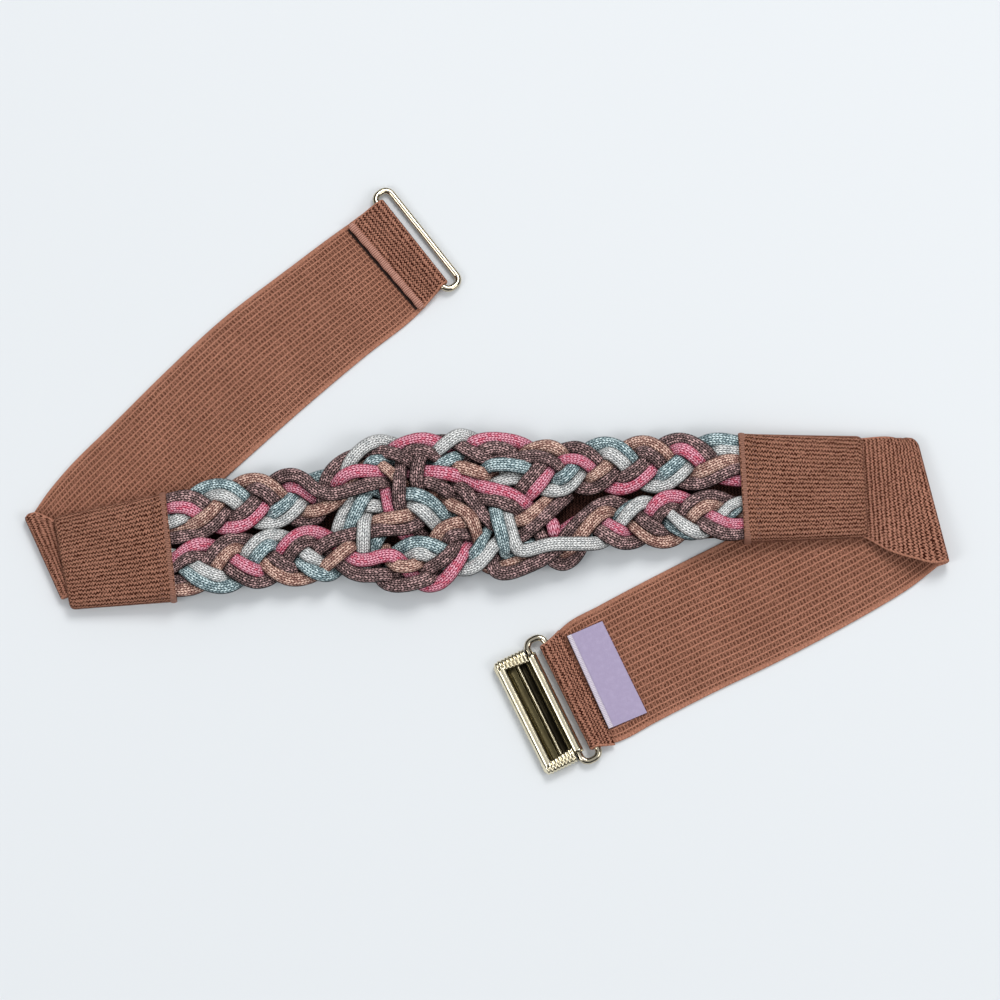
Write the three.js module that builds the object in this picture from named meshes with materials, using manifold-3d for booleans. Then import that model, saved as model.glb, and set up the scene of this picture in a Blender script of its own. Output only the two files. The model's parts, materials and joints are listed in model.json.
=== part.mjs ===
// A braided stretch belt, lying as it was laid down: the braided front is up, and both
// elastic straps are folded under it. Millimetres, +Z up, origin at the middle of the floor
// under it. Places are read off a 1000 x 1000 top view, and VIEW_STEP turns them into sizes.

import * as THREE from 'three';
import { mergeVertices } from 'three/addons/utils/BufferGeometryUtils.js';
import Module from 'manifold-3d';

const VIEW_STEP_X = 0.4545;
const VIEW_STEP_Y = 0.4615;
const VIEW_MIDDLE = { x: 487, y: 484 };

const GAP = 0.3;
const ELASTIC = 1.6;
const BACKING = 1.2;
const FLOOR_MID = ELASTIC / 2;

const WIRE_RADIUS = 1.4;
const RING_SPACING = 8.6;
const RING_LENGTH = 58;
const LOOP_LENGTH = 64;
const RING_SIDES = 10;
const HEM_TURN = WIRE_RADIUS + GAP + ELASTIC / 2;
const HEM_RIDGE = 1.0;
const HEM_AXIS_HEIGHT = FLOOR_MID + HEM_TURN;
const TURN_STEPS = 8;

const FOLD_RADIUS = 1.9;
const OPEN_FOLD_RADIUS = 3.4;
const OPEN_FOLD_RISE = 1.4;

const CORD_RADIUS = 2.45;
const CORD_END_RADIUS = 1.6;
const CORD_SIDES = 6;
const PAIR_HALF = 3.0;
const BRAID_RISE = 3.6;
const BRAID_SWING = 15;
const BRAID_OFFSET = 28;
const BRAID_LEVEL = 6.6;

const CUFF_BOTTOM = ELASTIC + GAP;
const CUFF_INNER_BOTTOM = CUFF_BOTTOM + ELASTIC;
const CUFF_MOUTH_TOP = 13.6;
const CUFF_END_TOP = 7.4;
const CUFF_BEND = 0.8;
const CUFF_DEPTH = 53;
const CUFF_CORNER = 2.2;
const WELT = 0.7;
const STRAP_TOP_MID = CUFF_INNER_BOTTOM + GAP + ELASTIC / 2;
const BACKING_LIFT = CUFF_INNER_BOTTOM + GAP;

const COLOURS = {
  elastic: 0x96664f, cuff: 0x8f5f49, backing: 0x6d4638, dark: 0x5a3a3c, pink: 0xe0567f,
  teal: 0x86a3a8, white: 0xd6d2cc, peach: 0xc59078, brass: 0xb49a5a, label: 0xcfc3dc,
};

const wasm = await Module();
wasm.setup();

function spot(px, py, z = 0) {
  return new THREE.Vector3((px - VIEW_MIDDLE.x) * VIEW_STEP_X, (VIEW_MIDDLE.y - py) * VIEW_STEP_Y, z);
}

function material(colour, roughness, metalness = 0) {
  return new THREE.MeshStandardMaterial({ color: colour, roughness, metalness });
}

function named(name, geometry, surface) {
  const mesh = new THREE.Mesh(geometry, surface);
  mesh.name = name;
  return mesh;
}

function bodyFrom(points, faces) {
  const geometry = new THREE.BufferGeometry();
  const places = points.flatMap((p) => [p.x, p.y, p.z]);
  geometry.setAttribute('position', new THREE.Float32BufferAttribute(places, 3));
  geometry.setIndex(faces.flat());
  geometry.computeVertexNormals();
  return geometry;
}

function isOutward(points, faces) {
  let volume = 0;
  for (const [a, b, c] of faces) {
    volume += points[a].dot(new THREE.Vector3().crossVectors(points[b], points[c]));
  }
  return volume > 0;
}

function closedBody(points, faces) {
  const turned = isOutward(points, faces) ? faces : faces.map(([a, b, c]) => [a, c, b]);
  return bodyFrom(points, turned);
}

function quad(faces, a, b, c, d) {
  faces.push([a, b, c], [a, c, d]);
}

// A strip of cloth: rows of points down its middle surface, made solid to both sides.
function stripBody(rows, thicknessAt) {
  const columns = rows[0].length;
  const points = [];
  for (const side of [1, -1]) {
    rows.forEach((row, i) => row.forEach((point, j) => {
      const [ahead, behind] = [Math.min(i + 1, rows.length - 1), Math.max(i - 1, 0)];
      const along = rows[ahead][j].clone().sub(rows[behind][j]);
      const across = row[Math.min(j + 1, columns - 1)].clone().sub(row[Math.max(j - 1, 0)]);
      const normal = new THREE.Vector3().crossVectors(along, across).normalize();
      points.push(point.clone().addScaledVector(normal, side * thicknessAt(i) / 2));
    }));
  }
  const at = (side, i, j) => side * rows.length * columns + i * columns + j;
  const faces = [];
  const edge = columns - 1;
  const last = rows.length - 1;
  for (let i = 0; i < last; i += 1) {
    for (let j = 0; j < edge; j += 1) {
      quad(faces, at(0, i, j), at(0, i, j + 1), at(0, i + 1, j + 1), at(0, i + 1, j));
      quad(faces, at(1, i, j), at(1, i + 1, j), at(1, i + 1, j + 1), at(1, i, j + 1));
    }
    quad(faces, at(0, i, 0), at(0, i + 1, 0), at(1, i + 1, 0), at(1, i, 0));
    quad(faces, at(0, i + 1, edge), at(0, i, edge), at(1, i, edge), at(1, i + 1, edge));
  }
  for (let j = 0; j < edge; j += 1) {
    quad(faces, at(0, 0, j + 1), at(0, 0, j), at(1, 0, j), at(1, 0, j + 1));
    quad(faces, at(0, last, j), at(0, last, j + 1), at(1, last, j + 1), at(1, last, j));
  }
  return closedBody(points, faces);
}

// A round tube through points, closed with flat ends or joined into a ring.
function tubeBody(line, radiusAt, sides, ring = false) {
  const count = line.length;
  const points = [];
  let side = null;
  line.forEach((point, i) => {
    const next = ring ? line[(i + 1) % count] : line[Math.min(i + 1, count - 1)];
    const before = ring ? line[(i + count - 1) % count] : line[Math.max(i - 1, 0)];
    const along = next.clone().sub(before).normalize();
    const seed = side ?? new THREE.Vector3(0, 0, 1);
    side = seed.clone().addScaledVector(along, -seed.dot(along)).normalize();
    const other = new THREE.Vector3().crossVectors(along, side);
    for (let k = 0; k < sides; k += 1) {
      const angle = 2 * Math.PI * k / sides;
      points.push(point.clone()
        .addScaledVector(side, radiusAt(i) * Math.cos(angle))
        .addScaledVector(other, radiusAt(i) * Math.sin(angle)));
    }
  });
  const faces = [];
  const steps = ring ? count : count - 1;
  for (let i = 0; i < steps; i += 1) {
    const j = (i + 1) % count;
    for (let k = 0; k < sides; k += 1) {
      const m = (k + 1) % sides;
      quad(faces, i * sides + k, i * sides + m, j * sides + m, j * sides + k);
    }
  }
  if (!ring) {
    const end = (count - 1) * sides;
    for (let k = 1; k < sides - 1; k += 1) {
      faces.push([0, k + 1, k], [end, end + k, end + k + 1]);
    }
  }
  return closedBody(points, faces);
}

// The elastic straps

const STRAP_COLUMNS = 4;

function acrossRow(left, right) {
  return Array.from({ length: STRAP_COLUMNS + 1 }, (_, j) => left.clone().lerp(right, j / STRAP_COLUMNS));
}

// The roll of a fold: from the upper run round to the lower one, wider where its radius grows.
function foldRows({ left, right, radiusLeft, radiusRight, outward }) {
  const rows = [];
  for (let k = 0; k <= TURN_STEPS; k += 1) {
    const angle = Math.PI * k / TURN_STEPS;
    const ends = [[left, radiusLeft], [right, radiusRight]].map(([axis, radius]) => axis.clone()
      .addScaledVector(outward, radius * Math.sin(angle))
      .setZ(FLOOR_MID + radius + radius * Math.cos(angle)));
    rows.push(acrossRow(ends[0], ends[1]));
  }
  return rows;
}

// How a hem's turned-back layer comes down: [share of the way to its raw edge, share of height].
const HEM_DROP = [[0.25, 0.7], [0.5, 0.15], [0.75, 0], [0.8, 0], [1, 0]];
const RIDGE_ROWS = 2;

// The sewn hem: round the wire and back over the strap, ending in its raised edge.
function hemRows({ wireLeft, wireRight, rawLeft, rawRight, outward }) {
  const rows = [];
  for (let k = 0; k <= TURN_STEPS; k += 1) {
    const angle = -Math.PI / 2 + Math.PI * k / TURN_STEPS;
    const shift = (wire) => wire.clone()
      .addScaledVector(outward, HEM_TURN * Math.cos(angle))
      .setZ(HEM_AXIS_HEIGHT + HEM_TURN * Math.sin(angle));
    rows.push(acrossRow(shift(wireLeft), shift(wireRight)));
  }
  const low = FLOOR_MID + ELASTIC + GAP;
  HEM_DROP.forEach(([share, height], k) => {
    const ridge = k >= HEM_DROP.length - RIDGE_ROWS ? HEM_RIDGE / 2 : 0;
    const z = low + (HEM_AXIS_HEIGHT + HEM_TURN - low) * height + ridge;
    const left = wireLeft.clone().lerp(rawLeft, share).setZ(z);
    const right = wireRight.clone().lerp(rawRight, share).setZ(z);
    rows.push(acrossRow(left, right));
  });
  return rows;
}

function strapBody({ upper, fold, lower, hem }) {
  const rows = upper.map(([left, right]) => acrossRow(left, right));
  rows.push(...foldRows(fold));
  rows.push(...lower.map(([left, right]) => acrossRow(left.setZ(FLOOR_MID), right.setZ(FLOOR_MID))));
  rows.push(...hemRows(hem));
  const ridgeStart = rows.length - RIDGE_ROWS;
  return stripBody(rows, (i) => (i >= ridgeStart ? ELASTIC + HEM_RIDGE : ELASTIC));
}

// The wire axis of a hem lies inside its folded edge.
function hemFrom(edgeLeft, edgeRight, rawLeft, rawRight) {
  const along = edgeRight.clone().sub(edgeLeft).normalize();
  const outward = new THREE.Vector3().crossVectors(along, new THREE.Vector3(0, 0, 1));
  if (outward.dot(edgeLeft.clone().sub(rawLeft)) < 0) outward.negate();
  const inset = HEM_TURN + ELASTIC / 2;
  return {
    wireLeft: edgeLeft.clone().addScaledVector(outward, -inset),
    wireRight: edgeRight.clone().addScaledVector(outward, -inset),
    rawLeft, rawRight, outward, along,
  };
}

// A fold is given by its outer edge, and by the radius it is rolled to at both ends.
function foldFrom(left, right, radiusLeft, radiusRight, outwardSign) {
  const along = right.clone().sub(left).normalize();
  const outward = new THREE.Vector3().crossVectors(along, new THREE.Vector3(0, 0, outwardSign));
  return {
    left: left.clone().addScaledVector(outward, -radiusLeft - ELASTIC / 2),
    right: right.clone().addScaledVector(outward, -radiusRight - ELASTIC / 2),
    radiusLeft, radiusRight, outward,
  };
}

const leftHem = hemFrom(spot(383, 200), spot(447, 281), spot(350, 224), spot(422, 308));
const leftFold = foldFrom(spot(25, 519), spot(62, 599), FOLD_RADIUS, FOLD_RADIUS, 1);
const leftStrap = {
  upper: [
    [spot(118, 515, STRAP_TOP_MID), spot(124, 593, STRAP_TOP_MID)],
    [spot(62, 526, STRAP_TOP_MID), spot(76, 599, STRAP_TOP_MID)],
  ],
  fold: leftFold,
  lower: [
    [spot(68, 471), spot(128, 564)],
    [spot(115, 424), spot(190, 508)],
    [spot(167, 372), spot(243, 460)],
    [spot(225, 318), spot(307, 403)],
    [spot(286, 271), spot(365, 354)],
    [spot(342, 229), spot(416, 313)],
  ],
  hem: leftHem,
};

const rightHem = hemFrom(spot(539, 647), spot(590, 750), spot(559, 632), spot(614, 743));
const rightFold = foldFrom(spot(919, 446), spot(951, 563), FOLD_RADIUS, OPEN_FOLD_RADIUS, -1);
const rightStrap = {
  upper: [
    [spot(815, 447, STRAP_TOP_MID), spot(821, 529, STRAP_TOP_MID)],
    [spot(862, 447, STRAP_TOP_MID), spot(868, 530, STRAP_TOP_MID)],
    [spot(884, 440, STRAP_TOP_MID), spot(892, 543, STRAP_TOP_MID + OPEN_FOLD_RISE)],
  ],
  fold: rightFold,
  lower: [
    [spot(852, 478), spot(906, 588)],
    [spot(790, 509), spot(850, 621)],
    [spot(723, 544), spot(778, 659)],
    [spot(657, 577), spot(713, 690)],
    [spot(600, 607), spot(654, 720)],
    [spot(566, 626), spot(620, 738)],
  ],
  hem: rightHem,
};

// The wire rings and the clasp

function ringLine(length, spacing) {
  const reach = length / 2 - WIRE_RADIUS;
  const corner = spacing / 2;
  const straight = reach - corner;
  const line = [];
  for (const end of [1, -1]) {
    for (let k = 0; k <= TURN_STEPS; k += 1) {
      const angle = Math.PI * k / TURN_STEPS;
      const x = end * (straight + corner * Math.sin(angle));
      line.push(new THREE.Vector3(x, corner - end * corner * Math.cos(angle), 0));
    }
  }
  return line;
}

function ringBody(length) {
  return tubeBody(ringLine(length, RING_SPACING), () => WIRE_RADIUS, RING_SIDES, true);
}

// Puts a piece drawn along X with its wire axis on the origin where a hem holds it.
function hangOnHem(mesh, hem, tilt) {
  const middle = hem.wireLeft.clone().add(hem.wireRight).multiplyScalar(0.5);
  const across = new THREE.Vector3().crossVectors(new THREE.Vector3(0, 0, 1), hem.along);
  const along = across.dot(hem.outward) > 0 ? hem.along.clone() : hem.along.clone().negate();
  const turn = new THREE.Group();
  turn.position.copy(middle).setZ(HEM_AXIS_HEIGHT);
  turn.rotation.set(0, 0, Math.atan2(along.y, along.x));
  const pitch = new THREE.Group();
  pitch.rotation.set(tilt, 0, 0);
  pitch.add(mesh);
  turn.add(pitch);
  return turn;
}

const FLOOR_SLACK = 0.1;
const RING_TILT = -Math.asin((HEM_AXIS_HEIGHT - WIRE_RADIUS - FLOOR_SLACK) / RING_SPACING);

const SHEET = 1.0;
const CLASP_LENGTH = 57;
const GRIP_LENGTH = 50;
const GRIP_TURN = WIRE_RADIUS + GAP + SHEET / 2;
const CLASP_LOW = -GRIP_TURN;
const CLASP_FAR = 17.6;
const CLASP_CURL = 2.4;
const GRIP_REACH = 4;
const GRIP_ARC = { from: 65, to: 270, steps: 11 };
const CURL_ARC = { from: -90, to: 115, steps: 9 };
const CLASP_LIP = { y: 7.4, top: 2.0 };
const CLASP_END = { near: 2.2, far: 16.0, top: 2.3, flap: 5.2 };
const BAR_HEIGHT = GRIP_TURN + SHEET / 2 + FLOOR_SLACK / 2;
const LOOP_TILT = -Math.asin((HEM_AXIS_HEIGHT - BAR_HEIGHT) / RING_SPACING);

function asSolid(geometry) {
  const bare = geometry.clone();
  bare.deleteAttribute('normal');
  bare.deleteAttribute('uv');
  const merged = mergeVertices(bare, 1e-4);
  return new wasm.Manifold(new wasm.Mesh({
    numProp: 3,
    vertProperties: new Float32Array(merged.attributes.position.array),
    triVerts: new Uint32Array(merged.index.array),
  }));
}

function fromSolid(solid) {
  const mesh = solid.getMesh();
  const geometry = new THREE.BufferGeometry();
  geometry.setAttribute('position', new THREE.BufferAttribute(new Float32Array(mesh.vertProperties), 3));
  geometry.setIndex(new THREE.BufferAttribute(new Uint32Array(mesh.triVerts), 1));
  geometry.computeVertexNormals();
  return geometry;
}

// A bent sheet of metal: its section's middle line lies in Y and Z, and it is long in X.
function bentSheet(line, length) {
  const sides = [[], []];
  line.forEach((point, i) => {
    const [ahead, behind] = [Math.min(i + 1, line.length - 1), Math.max(i - 1, 0)];
    const along = line[ahead].clone().sub(line[behind]).normalize();
    const normal = new THREE.Vector2(-along.y, along.x).multiplyScalar(SHEET / 2);
    sides[0].push(point.clone().add(normal));
    sides[1].unshift(point.clone().sub(normal));
  });
  const shape = new THREE.Shape([...sides[0], ...sides[1]]);
  const geometry = new THREE.ExtrudeGeometry(shape, { depth: length, bevelEnabled: false, curveSegments: 1 });
  geometry.translate(0, 0, -length / 2);
  geometry.rotateY(Math.PI / 2);
  geometry.rotateX(Math.PI / 2);
  return geometry;
}

function arcLine(centre, radius, { from, to, steps }) {
  return Array.from({ length: steps + 1 }, (_, k) => {
    const angle = THREE.MathUtils.degToRad(from + (to - from) * k / steps);
    return new THREE.Vector2(radius * Math.cos(angle), radius * Math.sin(angle)).add(centre);
  });
}

function plate(x, y, z, sizeX, sizeY, sizeZ) {
  const geometry = new THREE.BoxGeometry(sizeX, sizeY, sizeZ);
  geometry.translate(x, y, z);
  return geometry;
}

// The clasp's rolled edge turns on the wire bar along X; its plate runs out along +Y.
function claspBody() {
  const curlCentre = new THREE.Vector2(CLASP_FAR - SHEET / 2 - CLASP_CURL, CLASP_LOW + CLASP_CURL);
  const grip = [...arcLine(new THREE.Vector2(), GRIP_TURN, GRIP_ARC), new THREE.Vector2(GRIP_REACH, CLASP_LOW)];
  const tray = [new THREE.Vector2(CLASP_END.near, CLASP_LOW), ...arcLine(curlCentre, CLASP_CURL, CURL_ARC)];
  const lipHeight = CLASP_LIP.top - CLASP_LOW;
  const pieces = [
    bentSheet(grip, GRIP_LENGTH),
    bentSheet(tray, CLASP_LENGTH),
    plate(0, CLASP_LIP.y, CLASP_LOW + lipHeight / 2, CLASP_LENGTH - SHEET, SHEET, lipHeight),
  ];
  const endWidth = CLASP_END.far - CLASP_END.near;
  const endMiddle = (CLASP_END.far + CLASP_END.near) / 2;
  const endHeight = CLASP_END.top - CLASP_LOW;
  for (const end of [-1, 1]) {
    const wallAt = end * (CLASP_LENGTH - SHEET) / 2;
    const flapAt = end * (CLASP_LENGTH - CLASP_END.flap) / 2;
    pieces.push(plate(wallAt, endMiddle, CLASP_LOW + endHeight / 2, SHEET, endWidth, endHeight));
    pieces.push(plate(flapAt, endMiddle, CLASP_END.top - SHEET / 2, CLASP_END.flap, endWidth, SHEET));
  }
  return fromSolid(pieces.map(asSolid).reduce((whole, piece) => whole.add(piece)));
}

// The cuffs: flat sleeves, thicker at the mouth where the braids go in

const CUFF_CORNER_STEPS = 3;
const CUFF_POINTS = 4 * (CUFF_CORNER_STEPS + 1) + 4;

// A flat sleeve's outline at one place: a rectangle with round corners, upright across the belt.
function sleeveRing(top, bottom, low, high, inset) {
  const across = bottom.clone().sub(top).normalize();
  const middle = top.clone().add(bottom).multiplyScalar(0.5);
  const half = top.distanceTo(bottom) / 2 - inset;
  const corner = Math.min(CUFF_CORNER - inset * 0.6, (high - low) / 2);
  const ring = [];
  const place = (sideways, up) => ring.push(middle.clone().addScaledVector(across, sideways).setZ(up));
  for (const [sx, sz, from] of [[1, 1, 0], [-1, 1, 90], [-1, -1, 180], [1, -1, 270]]) {
    for (let k = 0; k <= CUFF_CORNER_STEPS; k += 1) {
      const angle = THREE.MathUtils.degToRad(from + 90 * k / CUFF_CORNER_STEPS);
      const z = sz > 0 ? high - corner : low + corner;
      place(sx * (half - corner) + corner * Math.cos(angle), z + corner * Math.sin(angle));
    }
    if (from === 0) [1 / 3, -1 / 3].forEach((share) => place(share * half, high));
    if (from === 180) [-1 / 3, 1 / 3].forEach((share) => place(share * half, low));
  }
  return ring;
}

// Sections run from the mouth to the far end: top edge, bottom edge, height and wall.
function cuffBody(sections) {
  const outer = sections.map(({ top, bottom, high }) => (
    sleeveRing(top, bottom, CUFF_BOTTOM, high, 0)));
  const inner = sections.map(({ top, bottom, high, wall }) => (
    sleeveRing(top, bottom, CUFF_INNER_BOTTOM, high - wall, ELASTIC)));
  const points = [...outer.flat(), ...inner.flat()];
  const at = (skin, i, k) => (skin * sections.length + i) * CUFF_POINTS + (k % CUFF_POINTS);
  const faces = [];
  const last = sections.length - 1;
  for (let k = 0; k < CUFF_POINTS; k += 1) {
    for (let i = 0; i < last; i += 1) {
      quad(faces, at(0, i, k), at(0, i, k + 1), at(0, i + 1, k + 1), at(0, i + 1, k));
      quad(faces, at(1, i, k), at(1, i + 1, k), at(1, i + 1, k + 1), at(1, i, k + 1));
    }
    quad(faces, at(0, 0, k), at(1, 0, k), at(1, 0, k + 1), at(0, 0, k + 1));
    quad(faces, at(0, last, k), at(0, last, k + 1), at(1, last, k + 1), at(1, last, k));
  }
  return closedBody(points, faces);
}

function cuffTop(share) {
  return CUFF_MOUTH_TOP + (CUFF_END_TOP - CUFF_MOUTH_TOP) * share ** CUFF_BEND;
}

// Shares of the way from the mouth to the end, and how much the rolled rim adds there.
const CUFF_STEPS = [[0, WELT], [0.07, WELT], [0.09, 0], [0.35, 0], [0.65, 0], [1, 0]];

function cuffSections(mouthTop, mouthBottom, endTop, endBottom) {
  return CUFF_STEPS.map(([share, rim]) => ({
    top: mouthTop.clone().lerp(endTop, share),
    bottom: mouthBottom.clone().lerp(endBottom, share),
    high: cuffTop(share) + rim,
    wall: ELASTIC + rim,
  }));
}

const CUFFS = {
  left: cuffSections(spot(166, 496), spot(178, 603), spot(54, 519), spot(72, 611)),
  right: cuffSections(spot(738, 437), spot(744, 545), spot(862, 438), spot(868, 539)),
};

// The braided panel: what it stands on, and where its cords run

const MOUTH_LEFT = { x: 166, y: 496, slope: 12 / 107 };
const MOUTH_RIGHT = { x: 738, y: 438, slope: 6 / 106 };
const COMB_LEFT = { top: [144, 508], bottom: [151, 597] };
const COMB_RIGHT = { top: [763, 445], bottom: [768, 534] };
const PANEL_LINE = [
  [120, 553], [172, 548], [255, 534], [345, 526], [440, 513], [550, 500], [620, 497], [741, 491], [800, 489],
];
const PANEL_STEPS = 120;
const PANEL_CENTRE = 450;
const SINK = { left: 172, right: 741, length: 125 };
const PANEL_CLEAR = 0.05;

const panelCurve = new THREE.SplineCurve(PANEL_LINE.map(([px, py]) => new THREE.Vector2(px, py)));
const panelPoints = panelCurve.getPoints(PANEL_STEPS);

function panelMiddle(px) {
  const i = Math.max(1, panelPoints.findIndex((p) => p.x >= px));
  const [a, b] = [panelPoints[i - 1], panelPoints[i]];
  return a.y + (b.y - a.y) * (px - a.x) / (b.x - a.x);
}

function smooth(share) {
  const t = Math.min(1, Math.max(0, share));
  return t * t * (3 - 2 * t);
}

// The panel sinks from the cuffs, which lie on the straps, to the floor in the middle.
function panelLift(px) {
  const past = px < PANEL_CENTRE ? px - SINK.left : SINK.right - px;
  const sink = smooth(past / SINK.length);
  return BACKING_LIFT * (1 - sink) + PANEL_CLEAR * sink;
}

function pastMouth(px, py) {
  const fromLeft = px - MOUTH_LEFT.x - (py - MOUTH_LEFT.y) * MOUTH_LEFT.slope;
  const fromRight = MOUTH_RIGHT.x + (py - MOUTH_RIGHT.y) * MOUTH_RIGHT.slope - px;
  return Math.min(fromLeft, fromRight) * VIEW_STEP_X;
}

// Each bundle is a flat pair of cords: [colour on its left side, colour on its right side].
// A regular braid is given by where a bundle touches its top edge, then how far apart it does.
// The points between are hand placed: [x, y, height over or under the middle, half turns].
const BUNDLES = {
  upper_a: {
    colours: ['dark', 'pink'], left: ['upper', 180, 108, 300], right: ['lower', 578, 97, 590],
    middle: [
      [322, 510, 0, 0.5], [340, 492, 3, 1], [360, 481, 3.4, 1], [380, 475, 2.4, 1], [401, 479, -3, 1],
      [423, 482, 2.4, 1], [441, 481, 3.2, 1], [458, 479, 1.6, 1], [470, 488, -2.4, 1], [482, 499, 1.4, 1],
      [497, 500, 3.4, 1], [515, 512, 1.4, 1], [534, 519, -3, 1], [551, 524, 1, 1], [552, 541, 3, 1],
      [546, 556, 0, 1], [559, 562, -3, 1], [573, 537, -3, 1],
    ],
  },
  lower_a: {
    colours: ['pink', 'dark'], left: ['lower', 204, 104, 316], right: ['upper', 567, 108, 572],
    middle: [
      [340, 566, 1.4, 0], [361, 580, 3.2, 0], [385, 567, 1.2, 0], [406, 572, -3, 0.5], [428, 583, 1, 1],
      [452, 569, 3.4, 1], [465, 547, 1.4, 1], [482, 528, -3, 1], [503, 512, -3, 1], [522, 496, 1.2, 1],
      [536, 483, 3.2, 1], [549, 470, 1.6, 1],
    ],
  },
  upper_b: {
    colours: ['teal', 'white'], left: ['upper', 217, 107, 324], right: ['upper', 603, 108, 590],
    middle: [
      [346, 484, -2.8, 0], [366, 500, 1.4, 0], [383, 507, 0.6, 0], [398, 503, -3, 0], [413, 496, 1.6, 0],
      [430, 506, 3.4, 0], [437, 527, 1.2, 0], [450, 540, -3, 0], [470, 522, -3, 0], [477, 497, -3, 0],
      [492, 474, 1.2, 0], [512, 471, 3.4, 0], [532, 474, 1.4, 0], [546, 483, -3, 0], [557, 494, 1, 0],
      [567, 481, 2.8, 0],
    ],
  },
  lower_b: {
    colours: ['white', 'teal'], left: ['lower', 173, 104, 322], right: ['lower', 642, 97, 588],
    middle: [
      [337, 562, -2.6, 0], [342, 532, 1.6, 0], [355, 514, 3.2, 0], [370, 498, 1.6, 0], [368, 486, -3, 0],
      [356, 477, 0.4, 0], [357, 463, 2.8, 0], [370, 453, 3.2, 0], [388, 455, 1.2, 0], [406, 464, -3, 0],
      [426, 470, -3, 0], [440, 470, 1, 0], [446, 458, 3.2, 0], [461, 451, 1.4, 0], [480, 453, -3, 0],
      [497, 466, -3, 0], [499, 490, -3, 0], [498, 514, 1, 0], [500, 531, 3, 0], [501, 548, 1, 0],
      [508, 560, -3, 0.5], [522, 552, 1.8, 1], [538, 549, 1.4, 1], [558, 554, -3, 0.5],
    ],
  },
  upper_c: {
    colours: ['peach', 'dark'], left: ['upper', 252, 108, 308], right: ['lower', 611, 97, 590],
    middle: [
      [326, 513, -1, 0.5], [328, 492, 2.4, 1], [345, 469, 2, 1], [360, 458, -3, 1], [373, 461, 1.4, 1],
      [388, 468, 3.2, 1], [402, 478, 1.4, 1], [424, 488, -3, 1], [446, 491, -3, 1], [463, 494, 1.4, 1],
      [466, 513, 3.4, 1], [480, 529, 1.6, 1], [489, 543, -3, 1], [481, 558, -3, 1], [482, 573, 0.6, 1.5],
      [498, 579, 2.6, 2], [518, 566, 1.2, 2], [540, 561, -3, 1.5], [568, 548, -2, 1],
    ],
  },
  lower_c: {
    colours: ['dark', 'peach'], left: ['lower', 239, 104, 305], right: ['upper', 640, 108, 584],
    middle: [
      [325, 564, 1.4, 0], [346, 545, 2.4, 0], [360, 534, -3, 0.5], [375, 520, 1.2, 1], [396, 530, 3.4, 1],
      [418, 518, 1.4, 1], [424, 505, -3, 0.5], [418, 490, 1, 0], [416, 478, 3, 0], [429, 467, 1.4, 0],
      [441, 460, -3, 0], [454, 462, 1.2, 0], [468, 467, 3, 0], [482, 474, 1.2, 0], [504, 470, -3, 0.5],
      [524, 459, 1.4, 1], [541, 453, 3.4, 1], [561, 466, 1.4, 1],
    ],
  },
  tie_a: {
    colours: ['dark', 'pink'],
    middle: [
      [548, 478, -3, 0], [536, 467, -2.4, 0], [520, 457, 1.2, 0], [492, 445, 3.4, 0], [465, 456, 1.4, 0],
      [449, 465, -0.4, 0], [432, 457, 1.6, 0], [411, 449, 3.4, 0], [391, 458, 1.6, 0], [386, 470, -1, 0],
      [391, 483, 1.4, 0], [397, 497, 3.4, 0], [402, 511, 1.4, 0], [405, 524, -3, 0], [416, 538, 1, 0],
      [424, 553, -3, 0], [427, 565, -3, 0],
    ],
  },
  tie_b: {
    colours: ['teal', 'white'],
    middle: [
      [386, 510, -3, 0], [372, 524, 1, 0], [361, 545, 3.2, 0], [360, 561, 1.2, 0], [374, 572, -3, 0],
      [398, 562, -3, 0], [417, 552, 1.2, 0], [432, 556, 3, 0], [446, 561, 1, 0], [459, 569, -3, 0],
      [471, 570, 1, 0], [478, 556, 3, 0], [483, 542, 1.2, 0], [487, 526, -3, 0],
    ],
  },
  tie_c: {
    colours: ['peach', 'dark'],
    middle: [
      [370, 566, -3, 0], [390, 582, 1.2, 0], [408, 583, 3, 0], [425, 573, 1.2, 0], [436, 559, -3, 0],
      [442, 544, 1, 0], [455, 532, 3.2, 0], [468, 535, 1, 0], [490, 540, -3, 0], [513, 536, 1.2, 0],
      [531, 530, 3.2, 0], [549, 508, 1.2, 0], [561, 492, -3, 0],
    ],
  },
};

const BRAIDS = { upper: { side: -1, over: 1 }, lower: { side: 1, over: -1 } };

function braidPoint(braid, touch, period, px) {
  const { side, over } = BRAIDS[braid];
  const angle = 2 * Math.PI * (px - touch) / period + Math.PI / 2;
  const py = panelMiddle(px) + side * BRAID_OFFSET - BRAID_SWING * Math.sin(angle);
  return [px, py, -over * BRAID_RISE * Math.sin(2 * angle)];
}

const BRAID_STEP = 9;
const BRAID_START = 186;
const BRAID_FINISH = 727;
const COMB_PLACES = 6;

function combPoint(comb, rank) {
  const share = (rank + 0.5) / COMB_PLACES;
  return [
    comb.top[0] + (comb.bottom[0] - comb.top[0]) * share,
    comb.top[1] + (comb.bottom[1] - comb.top[1]) * share,
  ];
}

function rankAt(px, end) {
  const heights = Object.entries(BUNDLES).filter(([, bundle]) => bundle[end])
    .map(([name, bundle]) => {
      const [braid, touch, period] = bundle[end];
      return [name, braidPoint(braid, touch, period, px)[1]];
    });
  heights.sort((a, b) => a[1] - b[1]);
  return Object.fromEntries(heights.map(([name], rank) => [name, rank]));
}

const RANKS = { left: rankAt(BRAID_START, 'left'), right: rankAt(BRAID_FINISH, 'right') };
const COMB_LEVEL = 1.0;

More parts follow.
